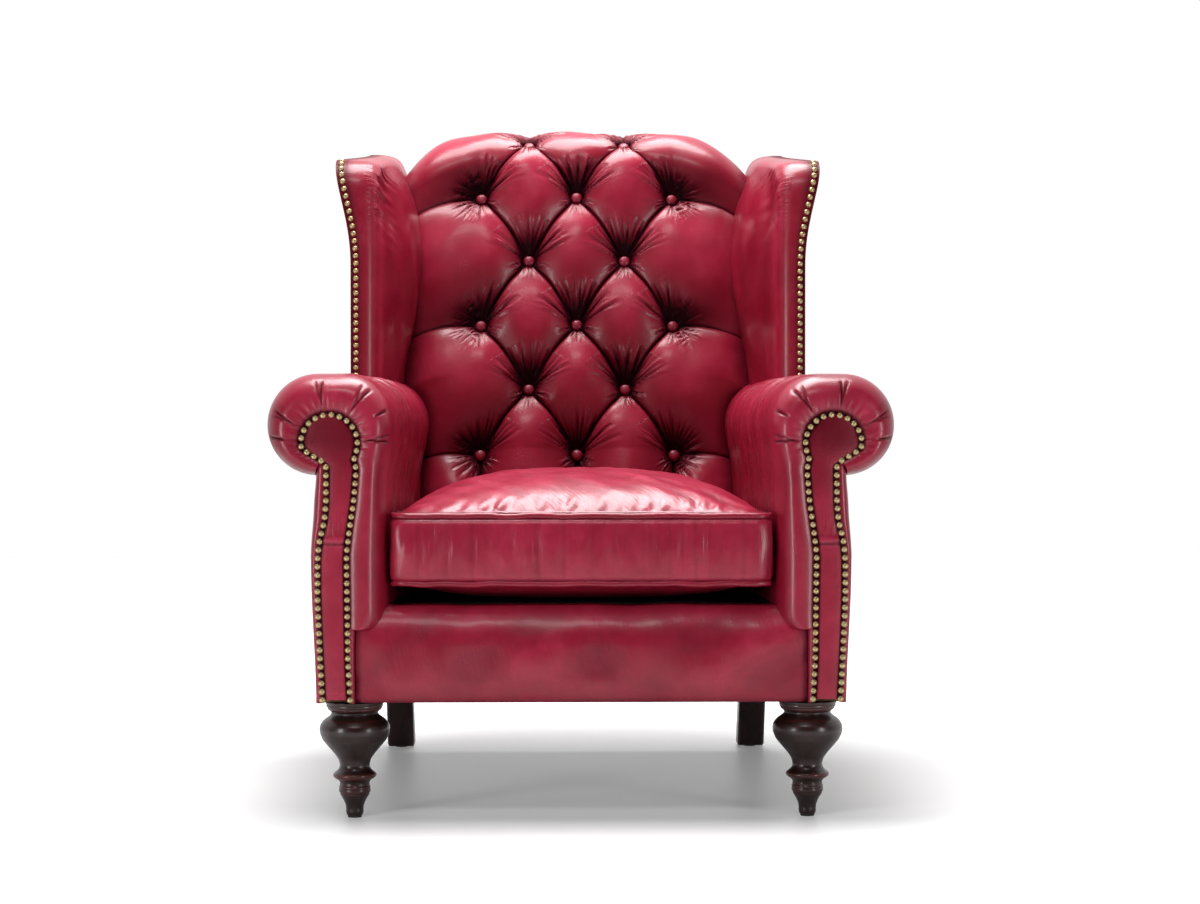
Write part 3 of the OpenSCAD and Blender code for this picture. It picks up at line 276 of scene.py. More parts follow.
def mesh_of(name, parts, weld=0.02 * MILLIMETRE):
    """Joins patches into one mesh, with their values as point attributes, and welds touching points."""
    quads, triangles, start = [], [], 0
    for part in parts:
        four, three = patch_faces(part, start)
        quads.append(four)
        triangles.append(three)
        start += part.points.shape[0] * part.points.shape[1]
    quads, triangles = np.concatenate(quads), np.concatenate(triangles)
    points = np.concatenate([part.points.reshape(-1, 3) for part in parts])
    corners = np.concatenate([quads.ravel(), triangles.ravel()])
    starts = np.concatenate([4 * np.arange(len(quads)), quads.size + 3 * np.arange(len(triangles))])
    mesh = bpy.data.meshes.new(name)
    mesh.vertices.add(len(points))
    mesh.vertices.foreach_set("co", points.astype(np.float32).ravel())
    mesh.loops.add(len(corners))
    mesh.loops.foreach_set("vertex_index", corners.astype(np.int32))
    mesh.polygons.add(len(starts))
    mesh.polygons.foreach_set("loop_start", starts.astype(np.int32))
    mesh.update(calc_edges=True)
    for layer in sorted({key for part in parts for key in part.layers}):
        size = max(part.layers[layer].ndim for part in parts if layer in part.layers)
        size = 3 if size == 3 else 1
        whole = []
        for part in parts:
            value = part.layers.get(layer, np.zeros((1, 1, size)))
            value = value.reshape(value.shape[:2] + (size,))
            whole.append(np.broadcast_to(value, part.points.shape[:2] + (size,)).reshape(-1, size))
        set_layer(mesh, layer, np.concatenate(whole))
    work = bmesh.new()
    work.from_mesh(mesh)
    bmesh.ops.remove_doubles(work, verts=work.verts, dist=weld)
    bmesh.ops.dissolve_degenerate(work, edges=work.edges, dist=weld / 10)
    work.to_mesh(mesh)
    work.free()
    mesh.shade_smooth()
    return mesh


def finish(slot):
    """The finish made here for a slot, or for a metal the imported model's own plain one."""
    return bpy.data.materials.get(f"{slot}_finish") or bpy.data.materials[slot]


def add_piece(name, parts, slot, *replaced, body="chair", fill=None):
    """Puts a mesh or patches in the scene as a piece that rides on a body and stands for CAD nodes."""
    mesh = parts if isinstance(parts, bpy.types.Mesh) else mesh_of(name, parts)
    piece = bpy.data.objects.new(name, mesh)
    bpy.context.scene.collection.objects.link(piece)
    mesh.materials.clear()
    mesh.materials.append(finish(slot))
    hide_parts(*replaced)
    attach(piece, body)
    return piece


# Shader building


class Wire:
    """A value in a shader tree, and the ways to work on with it."""

    def __init__(self, socket):
        self.socket = socket

    def joined(self, operation, other):
        """A Math node's result."""
        return add_node(self.socket.id_data, "ShaderNodeMath", {0: self, 1: other}, operation=operation)

    def __add__(self, other):
        return self.joined("ADD", other)

    def __sub__(self, other):
        return self.joined("SUBTRACT", other)

    def __mul__(self, other):
        return self.joined("MULTIPLY", other)

    def most(self, other):
        """The larger of two values."""
        return self.joined("MAXIMUM", other)

    def least(self, other):
        """The smaller of two values."""
        return self.joined("MINIMUM", other)

    def mapped(self, low, high, start=0.0, end=1.0):
        """The value mapped smoothly from one range to another."""
        inputs = {0: self, 1: low, 2: high, 3: start, 4: end}
        return add_node(self.socket.id_data, "ShaderNodeMapRange", inputs, interpolation_type="SMOOTHSTEP")


def add_node(tree, kind, inputs=None, output=0, **settings):
    """Adds a node with its settings, its sockets set or linked, and gives one output."""
    made = tree.nodes.new(kind)
    for key, value in settings.items():
        setattr(made, key, value)
    for key, value in (inputs or {}).items():
        if isinstance(value, Wire):
            tree.links.new(value.socket, made.inputs[key])
        else:
            made.inputs[key].default_value = value
    return Wire(made.outputs[output])


def blend_colour(tree, factor, first, second):
    """A mix of two colours."""
    return add_node(tree, "ShaderNodeMix", {0: factor, 6: first, 7: second}, output=2, data_type="RGBA")


def vector_math(tree, operation, first, second):
    """A vector worked out from two."""
    return add_node(tree, "ShaderNodeVectorMath", {0: first, 1: second}, operation=operation)


def noise(tree, vector, scale, detail=2.0, roughness=0.5, distortion=0.0, output=0):
    """A noise texture's value, or its colour as a vector."""
    return add_node(tree, "ShaderNodeTexNoise", {
        "Vector": vector, "Scale": scale, "Detail": detail, "Roughness": roughness,
        "Distortion": distortion}, output)


def cells(tree, vector, scale, feature):
    """A cell texture's distance."""
    return add_node(
        tree, "ShaderNodeTexVoronoi", {"Vector": vector, "Scale": scale}, "Distance", feature=feature)


SOCKET_KINDS = {
    "Vector": "NodeSocketVector", "Fold": "NodeSocketVector", "Colour": "NodeSocketColor",
    "Dark": "NodeSocketColor", "Light": "NodeSocketColor"}


def new_group(name, inputs, build):
    """A shader node group: build gives its outputs from its inputs."""
    group = bpy.data.node_groups.new(name, "ShaderNodeTree")
    for label in inputs:
        group.interface.new_socket(
            name=label, in_out="INPUT", socket_type=SOCKET_KINDS.get(label, "NodeSocketFloat"))
    start = group.nodes.new("NodeGroupInput")
    made = build(group, *[Wire(start.outputs[label]) for label in inputs])
    for label in made:
        group.interface.new_socket(
            name=label, in_out="OUTPUT", socket_type=SOCKET_KINDS.get(label, "NodeSocketFloat"))
    end = group.nodes.new("NodeGroupOutput")
    for label, wire in made.items():
        group.links.new(wire.socket, end.inputs[label])
    return group


def hide(group, vector, fold, fold_strength, crease, wear, base, dark, light):
    """Leather: mottled dye, fine grain, cracks and gathered folds, with painted shade in creases, hollows and
    fold valleys, and painted highlight on lit crests and tops beside the rub-off.
    """
    mottle = noise(group, vector, 6.5, 5.0, 0.62, 0.4)
    cloud = noise(group, vector, 24.0, 4.0, 0.6)
    speck = noise(group, vector, 210.0)
    grain = cells(group, vector, 720.0, "SMOOTH_F1")
    stir = vector_math(group, "MULTIPLY", noise(group, vector, 30.0, output="Color"), (0.012, 0.012, 0.012))
    network = cells(group, vector_math(group, "ADD", vector, stir), 105.0, "DISTANCE_TO_EDGE")
    cracks = network.mapped(0.0, 0.10, 1.0, 0.0) * cloud.mapped(0.45, 0.75)
    stretched = vector_math(group, "MULTIPLY", fold, (1.0, 0.16, 1.0))
    gathered = (noise(group, stretched, 240.0, 2.0, 0.5, 0.3) - 0.5) * fold_strength
    # Painted shade in the valleys of the gathered folds, and painted highlight on their crests.
    painted_valley_shade = gathered.mapped(-0.05, -0.28) * 0.75
    painted_ridge_highlight = gathered.mapped(0.04, 0.26)
    pooled = mottle.mapped(0.42, 0.75) * 0.20
    # The dark mix is painted shade from the crease attribute and the fold valleys, with the real cracks and
    # mottled dye.
    shaded = ((crease + cracks * 0.16).most(painted_valley_shade) + pooled).least(1.0)
    bared_and_highlit = wear * cloud.mapped(0.2, 0.7, 0.5, 1.0)
    # The light mix is random rub-off, with painted highlight from the lighter attribute and the lit fold
    # crests.
    rubbed_and_highlit = cloud.mapped(0.35, 0.8) * mottle.mapped(0.62, 0.35) * 0.24 + bared_and_highlit
    rubbed_and_highlit = rubbed_and_highlit.most(painted_ridge_highlight * 0.45).least(1.0)
    # Lighter where the leather is rubbed off and where the highlight is painted.
    worn_and_highlit = blend_colour(group, rubbed_and_highlit, base, light)
    return {
        "Colour": blend_colour(group, shaded, worn_and_highlit, dark),
        "Roughness": cloud * 0.16 + 0.22 + shaded * 0.16 + speck * 0.05,
        "Height": grain * 0.10 - cracks * 0.16 + gathered * 5.0 + cloud * 0.55,
        # The shine is dimmed where the painted shade lies.
        "Gloss": shaded.mapped(0.12, 0.80, 1.0, 0.10)}


def timber(group, vector, wear, base, dark, light):
    """Wood: long grain along one axis, pores, and lighter edges, partly rub-off and partly painted highlight.
    """
    drawn = vector_math(group, "MULTIPLY", vector, (1.0, 1.0, 0.07))
    grain = noise(group, drawn, 90.0, 5.0, 0.6, 0.8)
    pores = noise(group, drawn, 520.0)
    cloud = noise(group, vector, 26.0, 3.0)
    grained = blend_colour(group, grain.mapped(0.35, 0.68), base, dark)
    return {
        "Colour": blend_colour(group, wear * cloud.mapped(0.3, 0.7, 0.35, 1.0), grained, light),
        "Roughness": grain * 0.22 + 0.24,
        "Height": grain * 0.12 + pores * 0.08}


def weave(group, vector, threads, base, dark):
    """Woven cloth: warp and weft ribs crossing, with uneven threads."""
    warp, weft = [
        add_node(group, "ShaderNodeTexWave", {
            "Vector": vector, "Scale": threads, "Distortion": 0.6, "Detail Scale": 0.4},
            output=1, bands_direction=direction) for direction in ("X", "DIAGONAL")]
    uneven = noise(group, vector, 40.0, 3.0)
    ribs = warp.most(weft)
    return {
        "Colour": blend_colour(group, ribs * uneven.mapped(0.2, 0.8, 0.55, 1.0), dark, base),
        "Roughness": uneven * 0.2 + 0.72,
        "Height": ribs}


DULLED = ("Specular IOR Level", "Coat Weight")
# The crease attribute is painted shade in creases, pits, hollows and corners, and darker seams; the lighter
# attribute is rub-off and painted highlight.
LEATHER_POINTS = {"Fold": "fold", "Fold Strength": "fold_strength", "Crease": "crease", "Wear and Highlight": "wear"}
GROUP_INPUTS = {
    hide: ("Vector", "Fold", "Fold Strength", "Crease", "Wear and Highlight", "Colour", "Dark", "Light"),
    timber: ("Vector", "Wear and Highlight", "Colour", "Dark", "Light"),
    weave: ("Vector", "Threads", "Colour", "Dark")}


def make_material(name, group, colours, bump, reach, shader, threads=None, points=None):
    """A material whose group feeds one Principled shader, with a bump from the group's height. Colours
    are the main, the dark and the light one. Points are the attributes that the group reads."""
    material = bpy.data.materials.new(name)
    material.use_nodes = True
    tree = material.node_tree
    surface = tree.nodes["Principled BSDF"]
    inputs = {"Vector": add_node(tree, "ShaderNodeTexCoord", output="Object")}
    inputs.update({key: (*value, 1.0) for key, value in zip(("Colour", "Dark", "Light"), colours)})
    if threads is not None:
        inputs["Threads"] = threads
    for key, attribute in (points or {}).items():
        output = "Vector" if key == "Fold" else "Fac"
        inputs[key] = add_node(tree, "ShaderNodeAttribute", output=output, attribute_name=attribute)
    node = tree.nodes.new("ShaderNodeGroup")
    node.node_tree = group
    for key, value in inputs.items():
        if isinstance(value, Wire):
            tree.links.new(value.socket, node.inputs[key])
        else:
            node.inputs[key].default_value = value
    relief = add_node(tree, "ShaderNodeBump", {
        "Strength": bump, "Distance": reach * MILLIMETRE, "Height": Wire(node.outputs["Height"])})
    tree.links.new(node.outputs["Colour"], surface.inputs["Base Color"])
    tree.links.new(node.outputs["Roughness"], surface.inputs["Roughness"])
    tree.links.new(relief.socket, surface.inputs["Normal"])
    for key, value in shader.items():
        surface.inputs[key].default_value = value
        if key in DULLED and "Gloss" in node.outputs:
            tree.links.new((Wire(node.outputs["Gloss"]) * value).socket, surface.inputs[key])


def build_materials():
    """Makes the finishes of leather, wood and cloth, named by their slots."""
    colours = bpy.context.scene.chair_colours
    groups = {build: new_group(build.__name__, labels, build) for build, labels in GROUP_INPUTS.items()}
    leather = (colours.leather, colours.leather_shade_and_cracks, colours.leather_rubbed_and_highlit)
    stained = (colours.wood, [0.3 * c for c in colours.wood], colours.wood_worn_and_highlit)
    finishes = {
        "leather": (hide, leather, 0.9, 1.0, {
            "Specular IOR Level": 0.34, "Coat Weight": 0.14, "Coat Roughness": 0.14}, None, LEATHER_POINTS),
        "outside_leather": (hide, leather, 0.8, 1.0, {
            "Specular IOR Level": 0.13, "Coat Weight": 0.02, "Coat Roughness": 0.28}, None, LEATHER_POINTS),
        "mahogany": (timber, stained, 0.35, 0.3, {
            "Coat Weight": 0.24, "Coat Roughness": 0.16, "Specular IOR Level": 0.36}, None, {"Wear and Highlight": "wear"}),
        "beech": (timber, ((0.50, 0.33, 0.17), (0.38, 0.23, 0.11), (0.60, 0.42, 0.24)), 0.4, 0.3,
                  {"Specular IOR Level": 0.2}),
        "stuffing": (weave, ((0.70, 0.64, 0.48), (0.50, 0.44, 0.32)), 0.6, 1.0,
                     {"Specular IOR Level": 0.1}, 90.0),
        "webbing": (weave, ((0.42, 0.29, 0.14), (0.20, 0.13, 0.06)), 0.8, 1.0,
                    {"Specular IOR Level": 0.1}, 130.0),
        "black_cloth": (weave, ((0.030, 0.028, 0.028), (0.008, 0.008, 0.008)), 0.5, 0.4,
                        {"Specular IOR Level": 0.15}, 260.0),
        "nylon": (weave, ((0.030, 0.028, 0.028), (0.018, 0.017, 0.017)), 0.1, 1.0,
                  {"Specular IOR Level": 0.4}, 60.0)}
    for slot, (build, *rest) in finishes.items():
        make_material(f"{slot}_finish", groups[build], *rest)


# The back


def crest_fall(shape, u):
    """How much lower the crest is away from the middle: drop times (|u| / half width)^4.5."""
    return shape.crest_drop * (np.abs(u) / shape.shoulder) ** 4.5


def back_place(shape, u, s, depth):
    """A point of the back. Below the bend it is upright, above it leans by the rake, and past the crest
    line s runs over a half ellipse. Depth is measured in from the tops of the puffs."""
    top = shape.crest_s - crest_fall(shape, u)
    turn = np.clip(np.pi * (s - shape.crest_s) / (shape.crest_end - shape.crest_s), 0, np.pi)
    over = s > shape.crest_s
    rise = np.where(over, top + (shape.crest_rise - depth) * np.sin(turn), s * top / shape.crest_s)
    rise = rise - np.maximum(0, s - shape.crest_end)
    through = np.where(over, shape.crest_half - (shape.crest_half - depth) * np.cos(turn), depth)
    y = shape.seat_depth + rise * shape.lean + through * shape.upright
    z = shape.bend_z + rise * shape.upright - through * shape.lean
    low = s < 0
    y = np.where(low, shape.seat_depth + depth, y)
    mitre = depth * math.tan(shape.rake / 2) * (1 + s / shape.bend_rise)
    z = np.where(low, shape.bend_z + s - mitre, z)
    return stacked(u, shape.front_y + y, z)


def roll_inner_at(shape, z):
    """Inner side of an arm roll at a height: the wall's side below its middle, then the roll's circle."""
    up = np.clip(z - shape.lobe_z, 0, shape.roll_r)
    return np.where(z <= shape.lobe_z, shape.roll_inner,
                    shape.inner_lobe - np.sqrt(shape.roll_r ** 2 - up ** 2))


def back_half(shape, s):
    """Half width of the back: up to the arm rolls, then up to the wings, and a little wider at the crest."""
    tucked = 0.012
    front = back_place(shape, 0.0, np.minimum(s, shape.crest_s), 0.0)
    depth = front[..., 1] - shape.front_y + 0.8 * shape.pad_t
    arms = side_x(shape, roll_inner_at(shape, front[..., 2] - 0.02), depth)
    wings = side_x(shape, shape.wing_root, depth) + tucked * (1 + ease(s, 0.36, 0.52))
    low_wall = (shape.body_inner - shape.roll_inner) * (1 - ease(front[..., 2], 0.48, shape.lobe_z))
    return np.minimum(arms + low_wall + tucked / 2, wings)


def skewed(f, rising, falling, peak):
    """A skewed bump over 0 to 1, f^rising (1-f)^falling, divided by its peak."""
    return f ** rising * (1 - f) ** falling / peak


def puffs(shape, u, s):
    """Height of the puffs between the buttons, 0 at a button to 1, and where in its cell a point lies.
    A cell has a skewed bump each way, over creases that rise between the buttons."""
    across = np.clip(u / shape.pitch, -1, 1)
    top = (shape.rows - 1) / 2
    short = top - (s - shape.first_row) / (2 * shape.row_pitch)
    up = np.clip(top - 0.5 * (short + np.sqrt(short ** 2 + 0.05 ** 2)), 0, top)
    share = [limited(f - np.floor(f + TINY)) for f in (across + up, up - across)]
    bumps = [skewed(f, 0.62, 0.30, 0.5594) for f in share]
    ridges = [skewed(f, 0.75, 0.50, 0.4315) for f in share]
    cell = bumps[0] * bumps[1]
    crease = (ridges[0] ** 4 + ridges[1] ** 4) ** 0.25
    height = 0.55 * cell + 0.38 * crease
    past = np.maximum(0, np.abs(u) - shape.pitch)
    low = np.maximum(0, shape.first_row - s)
    room = back_half(shape, s) - shape.pitch
    corner = (np.sin(np.clip(np.pi / 2 * low / 0.075, 0, np.pi / 2))
              * np.sin(np.clip(np.pi * past / room, 0, np.pi / 2)))
    return np.where((past > 0) & (low > 0), corner ** 0.6, height), share


def back_grid(shape):
    """Columns and rows of the back, with buttons and creases on grid points."""
    per_pitch, per_row, outer = 80, 40, 46
    inner_u = np.arange(-per_pitch, per_pitch + 1) * shape.pitch / per_pitch
    step = shape.row_pitch / per_row
    first = math.ceil((-shape.bend_rise - shape.first_row) / step)
    last = math.floor((shape.crest_end - shape.first_row) / step)
    s = np.concatenate([
        [-shape.bend_rise], shape.first_row + step * np.arange(first, last + 1),
        [shape.crest_end, shape.crest_end + 0.007]])
    share = np.sin(np.linspace(0, np.pi / 2, outer + 1)[1:])
    right = shape.pitch + (back_half(shape, s)[:, None] - shape.pitch) * share
    u = np.concatenate([-right[:, ::-1], np.broadcast_to(inner_u, (len(s), len(inner_u))), right], axis=1)
    return u, np.broadcast_to(s[:, None], u.shape)


def button_places(shape):
    """Across and along places of the covered buttons: three and two to a row in turn."""
    return [(column * shape.pitch, shape.first_row + k * shape.row_pitch)
            for k in range(shape.rows)
            for column in ((-1, 0, 1) if k % 2 == 0 else (-0.5, 0.5))]


def crease_distance(shape, u, s, edges, past, low, high):
    """Distance of each point from the nearest crease: along the cells inside, then level creases at the
    sides, upright ones below and those that run up over the crest."""
    column = u / shape.pitch
    level = (s - shape.first_row) / (2 * shape.row_pitch)
    beside = (past > 0) & (s > shape.first_row - 0.03) & (s < shape.last_row - 0.05)
    inside = (past == 0) & (low == 0) & (high == 0)
    gap = np.where(inside, np.minimum(*edges) * 0.1294 / 0.16 * shape.pitch, 1.0)
    gap = np.where(beside, np.abs(level - np.round(level)) * 2 * shape.row_pitch, gap)
    gap = np.where((low > 0) & (past == 0), np.abs(column - np.round(column)) * shape.pitch, gap)
    rim = np.abs(np.abs(column) - 0.5) * shape.pitch + 0.0005
    return np.where((high > 0) & (past == 0), rim, gap), beside


def button_gathers(shape, u, s):
    """The gathers round the buttons: their coordinates, their strength, the distance of the nearest
    button, its pit, and the hollow above it."""
    start, full = 0.007, 0.014
    fold = np.zeros(u.shape + (3,))
    gathers, pits, above = np.zeros((3,) + u.shape)
    best = np.full(u.shape, 1.0)
    for number, (bu, bs) in enumerate(button_places(shape)):
        du, ds = u - bu, s - bs
        away = np.hypot(du, ds)
        turn = np.arctan2(du, ds)
        upward = np.cos(turn)
        nearest = away < best
        best = np.where(nearest, away, best)
        pits = np.where(nearest, hump(away, 0, 0.017), pits)
        above = np.where(nearest, hump(away, 0, 0.050) * ease(upward, -0.3, 0.8), above)
        reach = np.where(upward > 0, 0.084, 0.042)
        mask = ease(away, start, full) * (1 - ease(away, 0.35 * reach, reach))
        mask = mask * np.where(upward > 0, 1.0, 0.85) * ease(np.abs(upward), 0.10, 0.5)
        outer = (abs(bu) > 0.9 * shape.pitch) & (np.sign(du) == np.sign(bu))
        mask = np.where(outer, ease(away, start, full) * (1 - ease(away, 0.020, 0.062)), mask)
        fold = np.where(nearest[..., None], stacked(turn * 0.045, away, 0.37 * number), fold)
        gathers = np.where(nearest, mask, gathers)
    return fold, gathers, best, pits, above


def buttoned_back(shape):
    """The inside back as one tufted grid, its creases bowed upwards and gathers round each button."""
    u, s = back_grid(shape)
    height, share = puffs(shape, u, s)
    edges = [np.minimum(f, 1 - f) for f in share]
    past = np.maximum(0, np.abs(u) - shape.pitch)
    room = back_half(shape, s) - shape.pitch
    low = np.maximum(0, shape.first_row - s)
    high = np.maximum(0, s - shape.last_row)
    fade = (limited(1 - 0.80 * past / room)
            * limited(1 - 0.7 * low / (shape.first_row + shape.bend_rise))
            * limited(1 - high / shape.row_pitch)
            * (1 - 0.40 * ease(s, shape.last_row - 0.07, shape.last_row)))
    behind = ease(s, 0.6 * shape.crest_s + 0.4 * shape.crest_end, shape.crest_end)
    sunk = shape.tuft * ((1 - height) * fade + 0.85 * (past / room) ** 3 * (1 - behind))
    gap, beside = crease_distance(shape, u, s, edges, past, low, high)
    groove = hump(gap, 0, 0.0021) * np.where(beside, limited(1 - 0.5 * past / room), fade)
    sunk = sunk + 0.0030 * groove
    bows = [np.sin(np.pi * f) ** 2 for f in share]
    bow = bows[0] + bows[1] - bows[0] * bows[1]
    rise = 0.008 * bow * (1 - ease(past, 0, 0.03)) * (1 - ease(low, 0, 0.03)) * (1 - ease(high, 0, 0.06))
    rise = rise + 0.004 * np.sin(limited(past / room) * np.pi) * (s > 0)
    fold, gathers, best, pits, above = button_gathers(shape, u, s)
    coarse = ripples(fold[..., 0] + fold[..., 2], fold[..., 1], 11, 0.0105, 0.16)
    sunk = sunk - 0.0025 * coarse * gathers
    cup = (shape.tuft - 0.0035) * (1 - 0.4 * ease(s, shape.last_row - 0.03, shape.last_row))
    sunk = np.where(best < 0.012, np.minimum(sunk, cup), sunk)
    sunk = np.maximum(sunk, cup * (1 - ease(best, 0.0095, 0.0190)))
    sunk = sunk + 0.0012 * ripples(u, s, 5, 0.11, 0.16) * ease(best, 0.02, 0.05)
    points = back_place(shape, u, s + rise, sunk)
    nearer = edges[0] < edges[1]
    corners = nearer[:-1, :-1].astype(int) + nearer[1:, 1:] + nearer[1:, :-1] + nearer[:-1, 1:]
    diagonal = [edge[:-1, :-1] + edge[1:, 1:] for edge in edges]
    falling = np.where(corners == 2, diagonal[0] < diagonal[1], corners > 2)
    # Painted shade: dark crease lines, button pits, the hollow above each button, the outer sides, the gather
    # valleys and the low parts of the puffs.
    crease = limited(
        0.95 * groove + 0.70 * pits ** 1.5 + 0.45 * ease(past / room, 0.72, 1.0) + 0.45 * above
        + 0.55 * ease(coarse, -0.1, -0.9) * gathers + 0.60 * ease(1 - height, 0.22, 0.80) * fade)
    # Painted highlight: lighter puff tops and gather crests.
    wear = limited(ease(height, 0.70, 1.0) * 0.40 + 0.25 * ease(coarse, 0.3, 1.1) * gathers) * (1 - crease)
    grid = patch(points, split=~falling, crease=crease, wear=wear, fold=fold, fold_strength=gathers)
    add_piece("buttoned_back", [grid], "leather", "inside_back_cover", "back_pad", "crest_pad", fill=0.8)


def turned(radii, heights, count, middle=(0.0, 0.0)):
    """A profile of radii and heights turned about an upright axis, as a grid closed on itself."""
    turn = np.linspace(0, 2 * np.pi, count + 1)
    radii, heights = np.asarray(radii)[:, None], np.asarray(heights)[:, None]
    return stacked(middle[0] + radii * np.cos(turn), middle[1] + radii * np.sin(turn), heights)


def placed(points, centre, outward):
    """Turns a shape that stands along +z so that it stands along a direction, at a centre."""
    outward = unit(np.asarray(outward, float))
    across = unit(np.cross([0.0, 0.0, 1.0], outward))
    upward = np.cross(outward, across)
    return centre + points[..., :1] * across + points[..., 1:2] * upward + points[..., 2:] * outward


def covered_buttons(shape):
    """Covered buttons: a low dome, radius times cosine and height times sine, over a tucked rim."""
    dome_height, set_in = 0.0062, 0.0065
    turn = np.linspace(-0.55, np.pi / 2, 16)
    radii = shape.button_r * np.cos(turn) ** 0.8 * (turn < np.pi / 2 - TINY)
    dome = turned(radii, dome_height * np.sin(turn), 28)
    # Painted shade on the tucked rim and, more lightly, over the whole button.
    button_rim_shade = np.maximum(ease(-turn, -0.45, 0.5), 0.25)[:, None]
    # Painted highlight on the top of the dome.
    wear = 0.30 * ease(turn, 0.6, 1.4)[:, None]
    parts = []
    for place in button_places(shape):
        sunk = (shape.tuft - set_in) * (0.6 if place[1] > shape.last_row - 0.01 else 1.0)
        base, front = [back_place(shape, *np.array([*place, depth])) for depth in (sunk, 0.0)]
        parts.append(patch(placed(dome, base, front - base), crease=button_rim_shade, wear=wear))
    add_piece("covered_buttons", parts, "leather", "back_buttons")


class CHAIR_OT_back(bpy.types.Operator):
    """Makes the buttoned inside back and its covered buttons"""

    bl_idname = "chair.back"
    bl_label = "Buttoned back"

    def execute(self, context):
        shape = chair_shape()
        buttoned_back(shape)
        covered_buttons(shape)
        return {"FINISHED"}


# The arms


def points_along(path, at):
    """Points of a path at given distances along it."""
    along = distances(path)
    return stacked(*[np.interp(at, along, values) for values in path.T])


def resampled(path, count):
    """A path as a number of points at equal distances along it."""
    return points_along(path, np.linspace(0, distances(path)[-1], count))


def smoothed(path, passes):
    """A path whose inner points are drawn towards their neighbours' middle a number of times."""
    path = np.array(path, float)
    for _ in range(passes):
        path[1:-1] = 0.5 * path[1:-1] + 0.25 * (path[:-2] + path[2:])
    return path


def arc(across, height, radius, start, end, count):
    """Points along a circle about a middle, from one angle to another in degrees."""
    turn = np.radians(np.linspace(start, end, count))
    return stacked(across + radius * np.cos(turn), height + radius * np.sin(turn))


def rounded(value):
    """A quarter circle's rise: 0 at 0, and 1 at 1 and above."""
    return np.sqrt(1 - (1 - limited(value)) ** 2)


def facing_line(shape):
    """The nail line of a facing in its arm's frame: up the inner edge, round the loop, down the outer.
    Each edge is given as shares of the height under the roll and of the arm's thickness."""
    tall = shape.lobe_z - shape.border_bottom
    thick = shape.body_outer - shape.body_inner
    inner = [(0.01, 0.52), (0.15, 0.49), (0.33, 0.48), (0.53, 0.47), (0.60, 0.50), (0.72, 0.57), (0.84, 0.61)]
    outer = [(0.86, 0.185), (0.72, 0.185), (0.65, 0.16), (0.58, 0.09), (0.51, 0.065), (0.37, 0.065),
             (0.155, 0.10), (0.01, 0.13)]
    up, down = [[(shape.body_outer - x * thick, shape.border_bottom + z * tall) for z, x in edge]
                for edge in (inner, outer)]
    loop = arc(shape.loop_x, shape.loop_z, shape.loop_r, 212, -12, 29)
    return smoothed(resampled(np.concatenate([up, loop, down]), 600), 14)


def arm_outline(shape):
    """The arm's outline in its own frame: up the inner wall, over the roll and under it to the outer side."""
    foot_r = 0.024
    foot_z = shape.deck_z - 0.034 + foot_r
    lean_z = 0.470
    foot = arc(shape.body_inner + foot_r, foot_z, foot_r, -90, -180, 12)
    z = np.concatenate([np.linspace(foot_z, lean_z, 30)[1:], np.linspace(lean_z, shape.lobe_z, 16)[1:-1]])
    wall = stacked(
        shape.body_inner + (shape.roll_inner - shape.body_inner) * ease(z, lean_z, shape.lobe_z), z)
    inner = arc(shape.inner_lobe, shape.lobe_z, shape.roll_r, 180, 90, 40)
    outer = arc(shape.outer_lobe, shape.lobe_z, shape.roll_r, 90, -88, 80)
    return smoothed(resampled(np.concatenate([foot, wall, inner, outer]), 300), 6)


def turn_round(shape, points):
    """Angle of each point about the middle of the facing's loop, from -90 to 270 degrees."""
    turn = np.arctan2(points[:, 1] - shape.loop_z, points[:, 0] - shape.loop_x)
    return np.where(turn < -np.pi / 2, turn + 2 * np.pi, turn)


def matched_nail_line(shape, outline):
    """The point of the nail line that faces each point of the outline: level with it on the wall, and
    round the loop's middle on the roll."""
    line = facing_line(shape)
    along = distances(line)
    wall_top, last_turn, barred = 0.500, -1.30, 10
    turn = turn_round(shape, line)
    start = int(np.argmin(np.abs(line[:, 1] - wall_top) + barred * (line[:, 0] > shape.loop_x)))
    last = int(np.argmin(np.abs(turn - last_turn) + barred * (np.arange(len(line)) < start)))
    at = np.interp(-turn_round(shape, outline), -turn[start:last], along[start:last])
    on_wall = (outline[:, 1] < wall_top) & (outline[:, 0] < shape.loop_x)
    at = np.where(on_wall, np.interp(outline[:, 1], line[:start, 1], along[:start]), at)
    return points_along(line, smoothed(np.maximum.accumulate(at), 30))


def ring_profile(count):
    """The swell of an arm's front between its nail line and its side, as shares across and of depth:
    two quarter ellipses that meet at the foremost line."""
    crest = 0.44
    first = np.linspace(0, np.pi / 2, count // 2, endpoint=False)
    second = np.linspace(0, np.pi / 2, count - count // 2)
    across = np.concatenate([crest * (1 - np.cos(first)), crest + (1 - crest) * np.sin(second)])
    forward = np.concatenate([1 - np.sin(first), 0 * second])
    back = np.concatenate([0 * first, 1 - np.cos(second)])
    return across, forward, back


def plane_depth(shape, z, through):
    """Depth of the plane that lies at one depth in the back, at a height."""
    bend = shape.bend_z - through * math.tan(shape.rake / 2)
    return np.where(z < bend, shape.seat_depth + through,
                    shape.seat_depth + (z - shape.bend_z) * math.tan(shape.rake) + through / shape.upright)


# Angle, start, end and opening of each pleat of a roll's front.
PLEATS = (
    (28.5, 0.12, 0.80, 5.0), (80.0, 0.10, 0.80, 6.0), (124.0, 0.10, 0.85, 7.0), (176.0, 0.08, 0.90, 5.0),
    (-50.0, 0.10, 0.90, 4.0), (5.0, 0.30, 0.90, 3.0), (150.0, 0.50, 0.90, 2.5))


